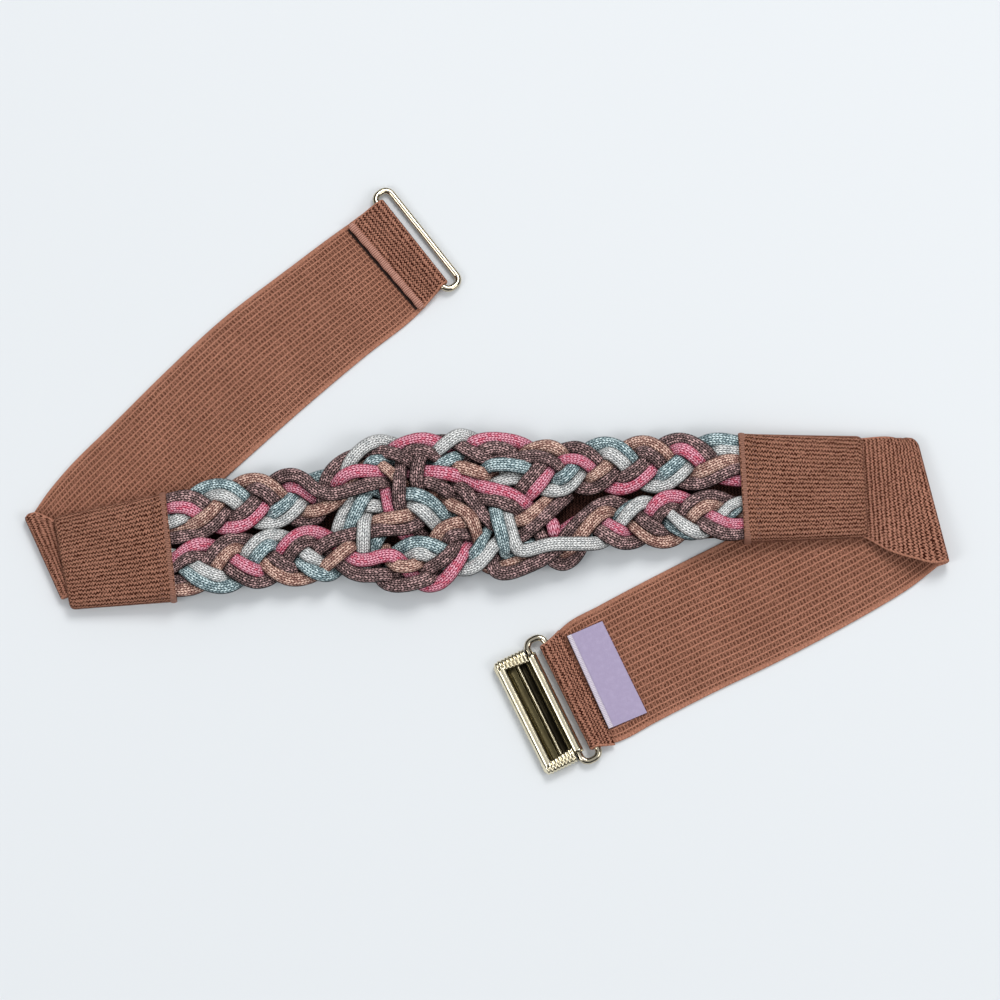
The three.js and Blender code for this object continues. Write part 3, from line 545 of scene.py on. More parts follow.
class Effects:
    """The effects that the belt's finishes share, each a node group built once."""

    def __init__(self) -> None:
        """Builds every group."""
        self.wavy_rib = self.build_wavy_rib()
        self.dotted_grid = self.build_dotted_grid()
        self.knit = self.build_knit()
        self.thread = self.build_thread()
        self.fading = self.build_fading()
        self.tarnish = self.build_tarnish()

    @staticmethod
    def build_wavy_rib() -> bpy.types.NodeTree:
        """Ribs that waver along their length, with stitches on them, and painted shade in the
        valleys between them.

        Returns:
            The group.
        """
        write, takes, gives = open_group(
            "Wavy rib",
            {"Across": 0.0, "Along": 0.0, "Pitch": 2.0, "Wave": 0.2},
            ["Height", "Painted groove shade", "Stitch"],
        )
        row = write.math("DIVIDE", takes["Along"], takes["Pitch"])
        lean = write.math("SINE", write.times(write.math("FLOOR", row), 2.4))
        swing = write.math("SINE", write.scaled(takes["Across"], 4.6, lean))
        place = write.point(takes["Across"], takes["Along"])
        bent = write.scaled(swing, takes["Wave"], row)
        bent = write.scaled(write.noise(place, 0.35), 0.9, bent)
        bent = write.scaled(write.noise(place, 1.4), 0.55, bent)
        edge = write.crest(bent)
        stitch_at = write.scaled(takes["Across"], 0.85, write.times(edge, 0.45))
        stitch = write.crest(write.scaled(write.math("FLOOR", bent), 0.5, stitch_at))
        dome = write.rest(write.math("POWER", edge, 1.8))
        dented = write.scaled(write.times(stitch, dome), -0.35, dome)
        write.join(dented, gives["Height"])
        depth = write.span(write.noise(place, 0.8, 3.0), 0.3, 0.6, 0.5, 1.15)
        write.join(write.times(write.span(edge, 0.25, 0.8), depth), gives["Painted groove shade"])
        write.join(stitch, gives["Stitch"])
        return write.tree

    @staticmethod
    def build_dotted_grid() -> bpy.types.NodeTree:
        """Fine lines along the cloth, crossed by rows of small holes that are darkened as painted
        shade.

        Returns:
            The group.
        """
        write, takes, gives = open_group(
            "Dotted grid",
            {"Across": 0.0, "Along": 0.0, "Width": 50.0},
            ["Height", "Painted groove shade", "Stitch"],
        )
        place = write.point(takes["Across"], takes["Along"])
        drift = write.noise(place, 0.6)
        line = write.crest(write.scaled(drift, 0.2, write.math("DIVIDE", takes["Across"], 2.4)))
        row_at = write.scaled(drift, 0.3, write.math("DIVIDE", takes["Along"], 1.6))
        row = write.crest(row_at)
        thread = write.times(write.span(line, 0.62, 0.95), 0.9)
        weft = write.times(write.span(row, 0.4, 0.95), 0.8)
        loop = write.crest(write.scaled(line, 0.6, write.times(row_at, 2.0)))
        knot = write.times(write.span(loop, 0.5, 0.95), 0.3)
        high = write.math("MAXIMUM", write.math("MAXIMUM", thread, weft), knot)
        middle = write.math("ABSOLUTE", write.scaled(takes["Width"], -0.5, takes["Across"]))
        inside = write.math("SUBTRACT", write.times(takes["Width"], 0.5), middle)
        edge = write.math("SUBTRACT", 0.6, write.times(write.span(inside, 0.7, 1.5), 0.6))
        high = write.math("MAXIMUM", high, edge)
        write.join(high, gives["Height"])
        depth = write.span(write.noise(place, 1.1, 3.0), 0.25, 0.6, 0.4, 0.95)
        write.join(write.times(write.rest(high), depth), gives["Painted groove shade"])
        write.join(row, gives["Stitch"])
        return write.tree

    @staticmethod
    def build_knit() -> bpy.types.NodeTree:
        """The V stitches of a knitted tube, a number for each, painted shade in the gaps between
        them, and painted shade down its sides and underside.

        Returns:
            The group.
        """
        write, takes, gives = open_group(
            "Knit",
            {"Around": 0.0, "Along": 0.0, "Wales": 9.0, "Course": 1.45},
            ["Height", "Painted groove shade", "Chance", "Painted side shade"],
        )
        wale = write.times(takes["Around"], takes["Wales"])
        edge = write.crest(wale)
        course = write.scaled(edge, 0.75, write.math("DIVIDE", takes["Along"], takes["Course"]))
        leg = write.crest(course)
        middle = write.span(edge, 0.02, 0.3)
        outside = write.rest(write.span(edge, 0.7, 0.98))
        body = write.times(middle, outside)
        loop = write.rest(write.math("POWER", leg, 2.0))
        height = write.times(write.scaled(body, 0.85, 0.15), loop)
        write.join(height, gives["Height"])
        write.join(write.rest(write.span(height, 0.06, 0.42)), gives["Painted groove shade"])
        chance = write.add("ShaderNodeTexWhiteNoise", noise_dimensions="3D")
        half = write.math("FLOOR", write.times(wale, 2.0))
        write.join(write.point(half, write.math("FLOOR", course)), chance.inputs["Vector"])
        write.join(chance.outputs["Value"], gives["Chance"])
        # Painted shade on the cord: none on its top, growing down its sides and underside.
        upward = write.math("SINE", write.times(takes["Around"], 2 * math.pi))
        write.join(write.times(write.span(upward, 0.74, 0.08), 0.97), gives["Painted side shade"])
        return write.tree

    @staticmethod
    def build_thread() -> bpy.types.NodeTree:
        """Fine threads laid side by side, with painted shade in the gaps between them.

        Returns:
            The group.
        """
        write, takes, gives = open_group(
            "Thread", {"Along": 0.0, "Across": 0.0, "Pitch": 0.5}, ["Height", "Shade"]
        )
        place = write.point(takes["Across"], takes["Along"])
        drift = write.noise(place, 0.9)
        row = write.scaled(drift, 0.5, write.math("DIVIDE", takes["Along"], takes["Pitch"]))
        edge = write.crest(row)
        lump = write.noise(place, 0.45, 3.0)
        height = write.rest(write.math("POWER", edge, 2.0))
        write.join(write.scaled(lump, 0.8, height), gives["Height"])
        shade = write.times(write.span(edge, 0.4, 1.0), write.span(lump, 0.2, 0.6))
        write.join(shade, gives["Shade"])
        return write.tree

    @staticmethod
    def build_fading() -> bpy.types.NodeTree:
        """How cloth varies over centimetres, from handling and light.

        Returns:
            The group.
        """
        write, takes, gives = open_group("Fading", {"Across": 0.0, "Along": 0.0}, ["Fade", "Fluff"])
        place = write.point(takes["Across"], takes["Along"])
        write.join(write.span(write.noise(place, 0.05, 3.0), 0.3, 0.7), gives["Fade"])
        write.join(write.span(write.noise(place, 1.9, 4.0), 0.35, 0.75), gives["Fluff"])
        return write.tree

    @staticmethod
    def build_tarnish() -> bpy.types.NodeTree:
        """Where plated metal has dulled, and its finest scratches.

        Returns:
            The group.
        """
        write, takes, gives = open_group("Tarnish", {"Scale": 90.0}, ["Dull", "Scratch"])
        place = write.add("ShaderNodeTexCoord").outputs["Object"]
        cloud = write.add("ShaderNodeTexNoise")
        write.join(place, cloud.inputs["Vector"])
        write.join(takes["Scale"], cloud.inputs["Scale"])
        cloud.inputs["Detail"].default_value = 5.0
        write.join(write.span(cloud.outputs["Fac"], 0.42, 0.72), gives["Dull"])
        write.join(write.noise(place, 1600.0, 3.0), gives["Scratch"])
        return write.tree


EFFECTS = Effects()


class Weave(Enum):
    """Which face of the elastic a finish shows."""

    RIB_ACROSS = "ribs run across the strap"
    RIB_ALONG = "ribs run along the sleeve"
    GRID = "the smooth inner face"


def new_material(name: str) -> tuple[Material, Tree, bpy.types.Node]:
    """An empty material.

    Args:
        name: the material's name.

    Returns:
        The material, its tree, and its surface shader.
    """
    material = bpy.data.materials.new(name)
    material.use_nodes = True
    return material, Tree(material.node_tree), material.node_tree.nodes["Principled BSDF"]


def add_relief(write: Tree, shader: bpy.types.Node, height: Socket, depth: float) -> None:
    """Gives a surface relief.

    Args:
        write: the material's tree.
        shader: its surface shader.
        height: the relief, from 0 to 1.
        depth: how deep it is in millimetres.
    """
    bump = write.add("ShaderNodeBump")
    bump.inputs["Strength"].default_value = 1.0
    bump.inputs["Distance"].default_value = depth * MM
    write.join(height, bump.inputs["Height"])
    write.join(bump.outputs["Normal"], shader.inputs["Normal"])


@dataclass(frozen=True)
class ElasticFinish:
    """Knitted elastic in one of its faces, with painted shade in its grooves and holes."""

    name: str
    weave: Weave
    light: Colour
    dark: Colour
    pitch: float = 2.0
    relief: float = 0.5

    def material(self) -> Material:
        """Makes the finish.

        Returns:
            The material.
        """
        material, write, shader = new_material(self.name)
        across, along = write.cloth_place()
        if self.weave is Weave.GRID:
            cloth = write.place(EFFECTS.dotted_grid, Across=across, Along=along)
        elif self.weave is Weave.RIB_ACROSS:
            cloth = write.place(EFFECTS.wavy_rib, Across=across, Along=along, Pitch=self.pitch)
        else:
            cloth = write.place(EFFECTS.wavy_rib, Across=along, Along=across, Pitch=self.pitch)
        fading = write.place(EFFECTS.fading, Across=across, Along=along)
        worn = tuple(min(1.0, c * 1.28 + 0.01) for c in self.light)
        shade = write.times(fading.outputs["Fade"], 0.5)
        yarn = write.blend(shade, self.light, worn)
        yarn = write.blend(write.times(cloth.outputs["Stitch"], 0.3), yarn, self.dark)
        bits = write.times(fading.outputs["Fluff"], 0.35)
        yarn = write.blend(bits, yarn, self.dark)
        # Grooves and holes blend to the dark colour: painted shade. The stitches and bits above use
        # it as the yarn's own darker colour.
        yarn = write.blend(cloth.outputs["Painted groove shade"], yarn, self.dark)
        write.join(yarn, shader.inputs["Base Color"])
        rough = write.scaled(fading.outputs["Fluff"], 0.15, 0.72)
        write.join(rough, shader.inputs["Roughness"])
        shader.inputs["Specular IOR Level"].default_value = 0.04
        height = write.scaled(fading.outputs["Fluff"], 0.12, cloth.outputs["Height"])
        add_relief(write, shader, height, self.relief)
        return material


@dataclass(frozen=True)
class CordFinish:
    """Knitted cord of one colour, with some stitches darker, crests lighter as pale flecks and
    painted highlight, and painted shade in its gaps and sides.
    """

    name: str
    main: Colour
    light: Colour
    dark: Colour
    fleck_and_highlight_share: float
    dark_share: float
    dark_blur: float = 0.25
    relief: float = 0.5

    def material(self) -> Material:
        """Makes the finish.

        Returns:
            The material.
        """
        material, write, shader = new_material(self.name)
        around, along = write.cloth_place()
        knit = write.place(EFFECTS.knit, Around=around, Along=along)
        fading = write.place(EFFECTS.fading, Across=around, Along=along)
        chance = knit.outputs["Chance"]
        darker = write.span(chance, self.dark_share, self.dark_share - self.dark_blur)
        # Every stitch's raised crest takes the lighter colour: partly the yarn's pale flecks,
        # partly a painted highlight.
        lit = write.times(write.span(knit.outputs["Height"], 0.3, 0.7), self.fleck_and_highlight_share)
        lit = write.scaled(fading.outputs["Fade"], 0.15, lit)
        yarn = write.blend(lit, write.blend(darker, self.main, self.dark), self.light)
        yarn = write.blend(write.times(darker, 0.6), yarn, self.dark)
        # Gaps between stitches and the cord's sides and underside blend to a near-black: painted
        # shade.
        deep = tuple(c * 0.15 for c in self.dark)
        yarn = write.blend(knit.outputs["Painted groove shade"], yarn, deep)
        write.join(write.blend(knit.outputs["Painted side shade"], yarn, deep), shader.inputs["Base Color"])
        write.join(write.scaled(chance, 0.2, 0.36), shader.inputs["Roughness"])
        shader.inputs["Specular IOR Level"].default_value = 0.12
        add_relief(write, shader, knit.outputs["Height"], self.relief)
        return material


@dataclass(frozen=True)
class ThreadFinish:
    """Threads side by side: a satin ribbon, or the close stitching over a raw edge."""

    name: str
    main: Colour
    dark: Colour
    pitch: float
    relief: float
    roughness: float = 0.6
    across: bool = False

    def material(self) -> Material:
        """Makes the finish.

        Returns:
            The material.
        """
        material, write, shader = new_material(self.name)
        across, along = write.cloth_place()
        if self.across:
            across, along = along, across
        thread = write.place(EFFECTS.thread, Across=across, Along=along, Pitch=self.pitch)
        fading = write.place(EFFECTS.fading, Across=across, Along=along)
        # Gaps between threads blend to the dark colour: painted shade.
        yarn = write.blend(thread.outputs["Shade"], self.main, self.dark)
        yarn = write.blend(write.times(fading.outputs["Fluff"], 0.2), yarn, self.dark)
        write.join(yarn, shader.inputs["Base Color"])
        rough = write.scaled(fading.outputs["Fade"], 0.1, self.roughness)
        write.join(rough, shader.inputs["Roughness"])
        add_relief(write, shader, thread.outputs["Height"], self.relief)
        return material


@dataclass(frozen=True)
class BrassFinish:
    """Plated metal: bright where it is handled, tarnished where it isn't."""

    name: str
    bright: Colour
    tarnish_and_shade: Colour
    roughness: float
    dulled: float = 0.35
    scratch: float = 0.0004

    def material(self) -> Material:
        """Makes the finish.

        Returns:
            The material.
        """
        material, write, shader = new_material(self.name)
        wear = write.place(EFFECTS.tarnish)
        share = write.times(wear.outputs["Dull"], self.dulled)
        write.join(write.blend(share, self.bright, self.tarnish_and_shade), shader.inputs["Base Color"])
        write.join(write.scaled(share, 0.3, self.roughness), shader.inputs["Roughness"])
        shader.inputs["Metallic"].default_value = 1.0
        add_relief(write, shader, wear.outputs["Scratch"], self.scratch)
        return material


# The elastic straps


@dataclass
class Strap:
    """A folded elastic strap: an upper run into a cuff, a fold, and a lower run to its hem.

    A row is the pair of edge points at one place along the strap.
    """

    name: str
    upper: list[Row]
    fold: Row
    fold_radii: tuple[float, float]
    fold_side: int
    fold_corner: float
    lower: list[Row]
    hem_edge: Row
    hem_raw: Row
    outer: int
    flat_width: float = 50.0
    hem_turn: float = 2.5
    hem_drops: tuple[Pair, ...] = ((0.25, 0.7), (0.5, 0.17), (0.75, 0.02), (1.0, 0.0))
    corner_fade: float = 9.0
    corner_reach: float = 20.0
    leaving: float = 0.12
    coming: float = 0.75
    columns: int = 41
    turn_steps: int = 8
    step: float = 2.2
    most_steps: int = 40

    def fold_out(self) -> Array:
        """The way out of the fold."""
        left, right = self.fold
        return np.cross(unit(right - left), [0.0, 0.0, self.fold_side])

    def fold_rows(self) -> list[Row]:
        """The rows round the fold, from the upper run to the lower one.

        Returns:
            The rows, in order.
        """
        rows = []
        for angle in np.linspace(0.0, math.pi, self.turn_steps + 1):
            pair = []
            for point, radius in zip(self.fold, self.fold_radii):
                end = point + self.fold_out() * (radius * (math.sin(angle) - 1) - ELASTIC / 2)
                end[2] = FLOOR_MID + radius * (1 + math.cos(angle))
                pair.append(end)
            rows.append(tuple(pair))
        return rows

    def hem_out(self) -> Array:
        """The way out of the hem's folded edge.

        Returns:
            A level vector of length one.
        """
        left, right = self.hem_edge
        outward = np.cross(unit(right - left), [0.0, 0.0, 1.0])
        return outward if outward @ (left - self.hem_raw[0]) > 0 else -outward

    def hem_rows(self) -> list[Row]:
        """The rows round the wire and back over the strap to the raw edge.

        Returns:
            The rows, in order.
        """
        outward = self.hem_out()
        axis = [end - outward * (self.hem_turn + ELASTIC / 2) for end in self.hem_edge]
        height = FLOOR_MID + self.hem_turn
        rows = []
        for angle in np.linspace(-math.pi / 2, math.pi / 2, self.turn_steps + 1):
            out = outward * self.hem_turn * math.cos(angle)
            lift = [0.0, 0.0, height + self.hem_turn * math.sin(angle)]
            rows.append(tuple(end + out + lift for end in axis))
        low = FLOOR_MID + ELASTIC + GAP
        for share, drop in self.hem_drops:
            lift = [0.0, 0.0, low + (height + self.hem_turn - low) * drop]
            rows.append(tuple(between(a, b, share) + lift for a, b in zip(axis, self.hem_raw)))
        return rows

    def grid(self) -> Array:
        """The strap's middle surface.

        Returns:
            Its points, as rows from one long edge to the other.
        """
        lower = [tuple(end * [1, 1, 0] + [0, 0, FLOOR_MID] for end in row) for row in self.lower]
        fold, hem = self.fold_rows(), self.hem_rows()
        leaving = tuple(between(a, b, self.leaving) for a, b in zip(fold[-1], lower[0]))
        coming = tuple(between(a, b, self.coming) for a, b in zip(lower[-1], hem[0]))
        rows = [*self.upper, *fold, leaving, *lower, coming, *hem]
        lines = np.array([np.concatenate(row) for row in rows])
        fine = flow(lines, [min(n, self.most_steps) for n in even_counts(lines, self.step)])
        fine[:, [2, 5]] = np.maximum(fine[:, [2, 5]], FLOOR_MID)
        share = (1 - np.cos(np.linspace(0, math.pi, self.columns))) / 2
        share = ((share + np.linspace(0, 1, self.columns)) / 2)[None, :, None]
        grid = between(fine[:, None, :3], fine[:, None, 3:], share)
        short = ((self.fold[0] - grid) @ self.fold_out())[..., None]
        past = np.clip(1 - share * self.flat_width / self.fold_corner, 0, 1)
        round_off = self.fold_corner * (1 - np.sqrt(1 - past**2))
        round_off = round_off * np.exp(-np.square(short / self.corner_fade))
        return grid - self.fold_out() * round_off * (short < self.corner_reach)

    def build(self, faces: list[Material]) -> None:
        """Builds the strap.

        Args:
            faces: the materials of its outer and its inner face.
        """
        skin = shell(self.grid(), ELASTIC, self.outer, self.flat_width)
        name = f"{self.name}_strap"
        piece = add_piece(name, [skin], faces, Body.BELT, "strap_elastic", self.name)


@dataclass
class HemWelt:
    """The ridge of close stitching over a hem's raw edge, and a dark thread beside it that paints
    the shadow in its crevice.
    """

    strap: Strap
    steps: int = 90
    inset: float = 0.2
    level: float = 3.55
    wobble: float = 0.12
    wobble_rates: Pair = (23.0, 41.0)
    half_width: float = 1.7
    half_height: float = 1.35
    taper: float = 34.0
    shadow_gap: float = 2.1
    shadow_lift: float = 0.15
    shadow_size: Pair = (0.65, 0.3)

    def build(self, finish: Material, shade: Material) -> None:
        """Builds the ridge and the dark thread that paints its shadow.

        Args:
            finish: the material of the ridge.
            shade: the material of that thread, a painted shadow.
        """
        outward = self.strap.hem_out()
        left, right = (raw - outward * self.inset for raw in self.strap.hem_raw)
        share = np.linspace(0.0, 1.0, self.steps)
        line = between(left, right, share[:, None])
        full = np.sqrt(np.clip(np.minimum(share, 1 - share) * self.taper, 0, 1))
        rise, spread = (self.wobble * np.sin(share * rate) for rate in self.wobble_rates)
        line[:, 2] = self.level + rise * full
        wide = (self.half_width + spread) * (0.55 + 0.45 * full)
        high = self.half_height * (0.5 + 0.5 * full)
        name = self.strap.name
        welt = [tube(line, wide, high, 20)]
        add_piece(f"{name}_hem_welt", welt, [finish], Body.BELT, "strap_elastic")
        # A dark thread just beside the ridge stands in for the shadow in its crevice: painted
        # shadow.
        seam = (line - outward * self.shadow_gap)[2:-2]
        seam[:, 2] = ELASTIC + self.shadow_lift
        thread = [tube(seam, *self.shadow_size, 10)]
        add_piece(f"{name}_hem_painted_shadow", thread, [shade], Body.BELT, "strap_elastic")


LEFT_STRAP = Strap(
    name="left_elastic",
    upper=[edges(118, 515, 124, 593, 4.6, 4.6), edges(62, 526, 76, 599, 4.6, 4.6)],
    fold=edges(25, 519, 62, 599),
    fold_radii=(1.9, 1.9),
    fold_side=1,
    fold_corner=1.0,
    lower=[
        edges(68, 471, 128, 564),
        edges(115, 424, 190, 508),
        edges(167, 372, 243, 460),
        edges(225, 318, 307, 403),
        edges(286, 271, 365, 354),
        edges(342, 229, 416, 313),
    ],
    hem_edge=edges(383, 200, 447, 281),
    hem_raw=edges(350, 224, 422, 308),
    outer=1,
)

RIGHT_STRAP = Strap(
    name="right_elastic",
    upper=[
        edges(815, 447, 821, 529, 4.6, 4.6),
        edges(858, 442, 864, 538, 4.6, 4.6),
        edges(880, 440, 888, 552, 4.6, 7.4),
        edges(898, 439, 912, 560, 4.6, 8.8),
    ],
    fold=edges(917, 438, 948, 562),
    fold_radii=(1.9, 4.2),
    fold_side=-1,
    fold_corner=4.0,
    lower=[
        edges(852, 478, 906, 588),
        edges(790, 509, 850, 621),
        edges(723, 544, 778, 659),
        edges(657, 577, 713, 690),
        edges(600, 607, 654, 720),
        edges(566, 626, 620, 738),
    ],
    hem_edge=edges(539.8, 648.6, 589.2, 748.4),
    hem_raw=edges(559, 632, 614, 743),
    outer=-1,
)


# The cuffs


@dataclass
class Cuff:
    """A hollow elastic sleeve over the ends of the braids, with a rolled rim at its mouth.

    Shares count the way from the mouth, 0, to the closed end, 1.
    """

    name: str
    mouth: Row
    end: Row
    bottom: float = 1.9
    mouth_top: float = 13.6
    end_top: float = 7.4
    bend: float = 0.8
    corner: float = 2.2
    corner_growth: float = 0.25
    sag: float = 0.35
    end_share: float = 0.95
    roll: float = 0.9
    roll_share: float = 0.03
    roll_reach: float = 0.045
    lip_insets: tuple[float, ...] = (0.25, 0.8, 1.35)
    round_points: int = 100
    rim_points: int = 18
    rim_middle: float = 1.4
    rim_half_length: float = 1.65
    rim_inset: float = 0.15
    rim_half_height: float = 0.6
    seam_shares: Pair = (0.105, 0.135)
    seam_drop: float = 3.2
    stitch: float = 0.22
    stitch_rise: float = 0.16
    stitch_sink: float = 0.25

    def length(self) -> float:
        """How long the sleeve is."""
        return float(np.linalg.norm((self.mouth[0] - self.end[0]) * [1, 1, 0]))

    def outline(self, share: float, inset: float) -> Array:
        """The sleeve's outline across the belt.

        Args:
            share: how far from the mouth it is, from 0 to 1.
            inset: how far inside the outer surface it lies.

        Returns:
            The points round the sleeve.
        """
        top, low = (between(a, b, share) for a, b in zip(self.mouth, self.end))
        past = max(0.0, share - self.end_share) / (1 - self.end_share)
        cut = self.corner * (1 - math.sqrt(max(0.0, 1 - past**2)))
        roll = self.roll * math.exp(-(((share - self.roll_share) / self.roll_reach) ** 4))
        high = self.mouth_top + (self.end_top - self.mouth_top) * max(share, 0.0) ** self.bend
        high += (roll * (inset == 0) - cut) * 0.4 - inset
        base = self.bottom + inset + cut * 0.3
        middle, across = (top + low) / 2, unit(low - top)
        half = np.linalg.norm(low - top) / 2 - inset - cut
        corner = min(self.corner + self.corner_growth * (high - base), (high - base) / 2)
        line = []
        for sx, sz, start in ((1, 1, 0), (-1, 1, 90), (-1, -1, 180), (1, -1, 270)):
            bend = corner if sz > 0 else min(self.corner, corner)
            for angle in np.radians(np.arange(start, start + 91, 15)):
                side = sx * (half - bend) + bend * math.cos(angle)
                level = (high - bend if sz > 0 else base + bend) + bend * math.sin(angle)
                line.append([side, level])
        flat = np.array([*line, line[0]])
        places = travelled(flat)
        even = np.linspace(0, places[-1], self.round_points, endpoint=False)
        side, level = (np.interp(even, places, flat[:, k]) for k in range(2))
        sag = self.sag * (1 - (side / half) ** 2) * (level > (high + base) / 2) * (0.3 + share)
        return middle * [1, 1, 0] + side[:, None] * across + (level + sag)[:, None] * [0, 0, 1]

    def build(self, finish: Material) -> None:
        """Builds the sleeve.

        Args:
            finish: its material.
        """
        parts = ((1, self.end_share, 7), (0.93, 0.12, 33), (0.11, 0.0, 16))
        shares = np.concatenate([np.linspace(*part) for part in parts])
        outer = [self.outline(float(s), 0.0) for s in shares]
        lip = [self.outline(0.0, inset) for inset in self.lip_insets]
        inner = [self.outline(float(s), ELASTIC) for s in shares[::-3]]
        points = np.array([*outer, *lip, *inner])
        start = travelled(points[:, 0])
        around = travelled(np.concatenate([outer[20], outer[20][:1]]))
        close = np.linalg.norm(points[-1, 0] - points[0, 0])
        skin = Skin(points, around, np.append(start, start[-1] + close), around=True, ring=True)
        name = f"{self.name}_sleeve"
        piece = add_piece(name, [skin], [finish], Body.BELT, "cuff_elastic", self.name)
        size = (float(around[-1]) * MM, self.length() * MM)

    def build_rim(self, finish: Material) -> None:
        """Builds the rolled rim round the mouth, closely stitched.

        Args:
            finish: its material.
        """
        rows = []
        for turn in np.linspace(0, 2 * math.pi, self.rim_points, endpoint=False):
            place = self.rim_middle - self.rim_half_length * math.cos(turn)
            inset = self.rim_inset - self.rim_half_height * math.sin(turn)
            rows.append(self.outline(place / self.length(), inset))
        around = travelled(np.concatenate([rows[0], rows[0][:1]]))
        along = np.arange(self.rim_points + 1) * 0.4
        skin = Skin(np.array(rows), around, along, around=True, ring=True)
        add_piece(f"{self.name}_rim", [skin], [finish], Body.BELT, "cuff_elastic")

    def build_seam(self, finish: Material) -> None:
        """Builds the row of stitches beside the rolled rim.

        Args:
            finish: the thread's material.
        """
        first, second = (self.outline(share, 0.0) for share in self.seam_shares)
        top = np.flatnonzero(first[:, 2] > self.mouth_top - self.seam_drop)
        rise, sink = ([0.0, 0.0, z] for z in (self.stitch_rise, -self.stitch_sink))
        skins = []
        for a, b in zip(first[top[::2]], second[top[::2]]):
            line = [a + sink, between(a, b, 0.25) + rise, between(a, b, 0.7) + rise, b + sink]
            skins.append(tube(np.array(line), self.stitch, self.stitch, 6))
        add_piece(f"{self.name}_seam", skins, [finish], Body.BELT, "cuff_elastic")


LEFT_CUFF = Cuff("left_cuff", edges(166, 496, 178, 603), edges(54, 519, 72, 611))
RIGHT_CUFF = Cuff("right_cuff", edges(738, 437, 744, 545), edges(862, 438, 868, 539))


# The braided panel


@dataclass
class Backing:
    """The thin elastic behind the braids, on a line and over a run of the top view."""

    line: tuple[Pair, ...] = (
        (120, 553), (172, 548), (255, 534), (345, 526), (440, 513),
        (550, 500), (620, 497), (741, 491), (800, 489),
    )
    run: Pair = (146, 766)
    rows: int = 160
    columns: int = 25
    thickness: float = 1.2
    flat_width: float = 49.0
    weave_width: float = 48.0
    lift: float = 3.8
    rest: float = 0.05
    mouths: Pair = (172.0, 741.0)
    slope: float = 125.0
    half: Pair = (43.0, 52.0)
    widening: Pair = (8.0, 10.0)
    tuck: float = 6.0

    def build(self, finish: Material) -> None:
        """Builds the backing.

        Args:
            finish: its material, a brown elastic darkened to near-black as painted shade.
        """
        places = np.array(self.line, float)
        middle = flow(places, [16] * (len(places) - 1))
        rows = []
        for px in np.linspace(*self.run, self.rows):
            py = float(np.interp(px, middle[:, 0], middle[:, 1]))
            past = min(px - self.mouths[0], self.mouths[1] - px)
            z = between(self.lift, self.rest, float(ease(past / self.slope))) + self.thickness / 2
            wider = float(ease((past - self.widening[0]) / self.widening[1]))
            high = between(*self.half, wider)
            low = high - self.tuck * wider
            sides = np.linspace(-1, 1, self.columns)
            rows.append([spot(px, py + (high if s < 0 else low) * s, z) for s in sides])
        skin = shell(np.array(rows), self.thickness, -1, self.weave_width, twin=False)
        piece = add_piece(
            "backing_band", [skin], [finish], Body.BELT, "backing", "backing_elastic"
        )


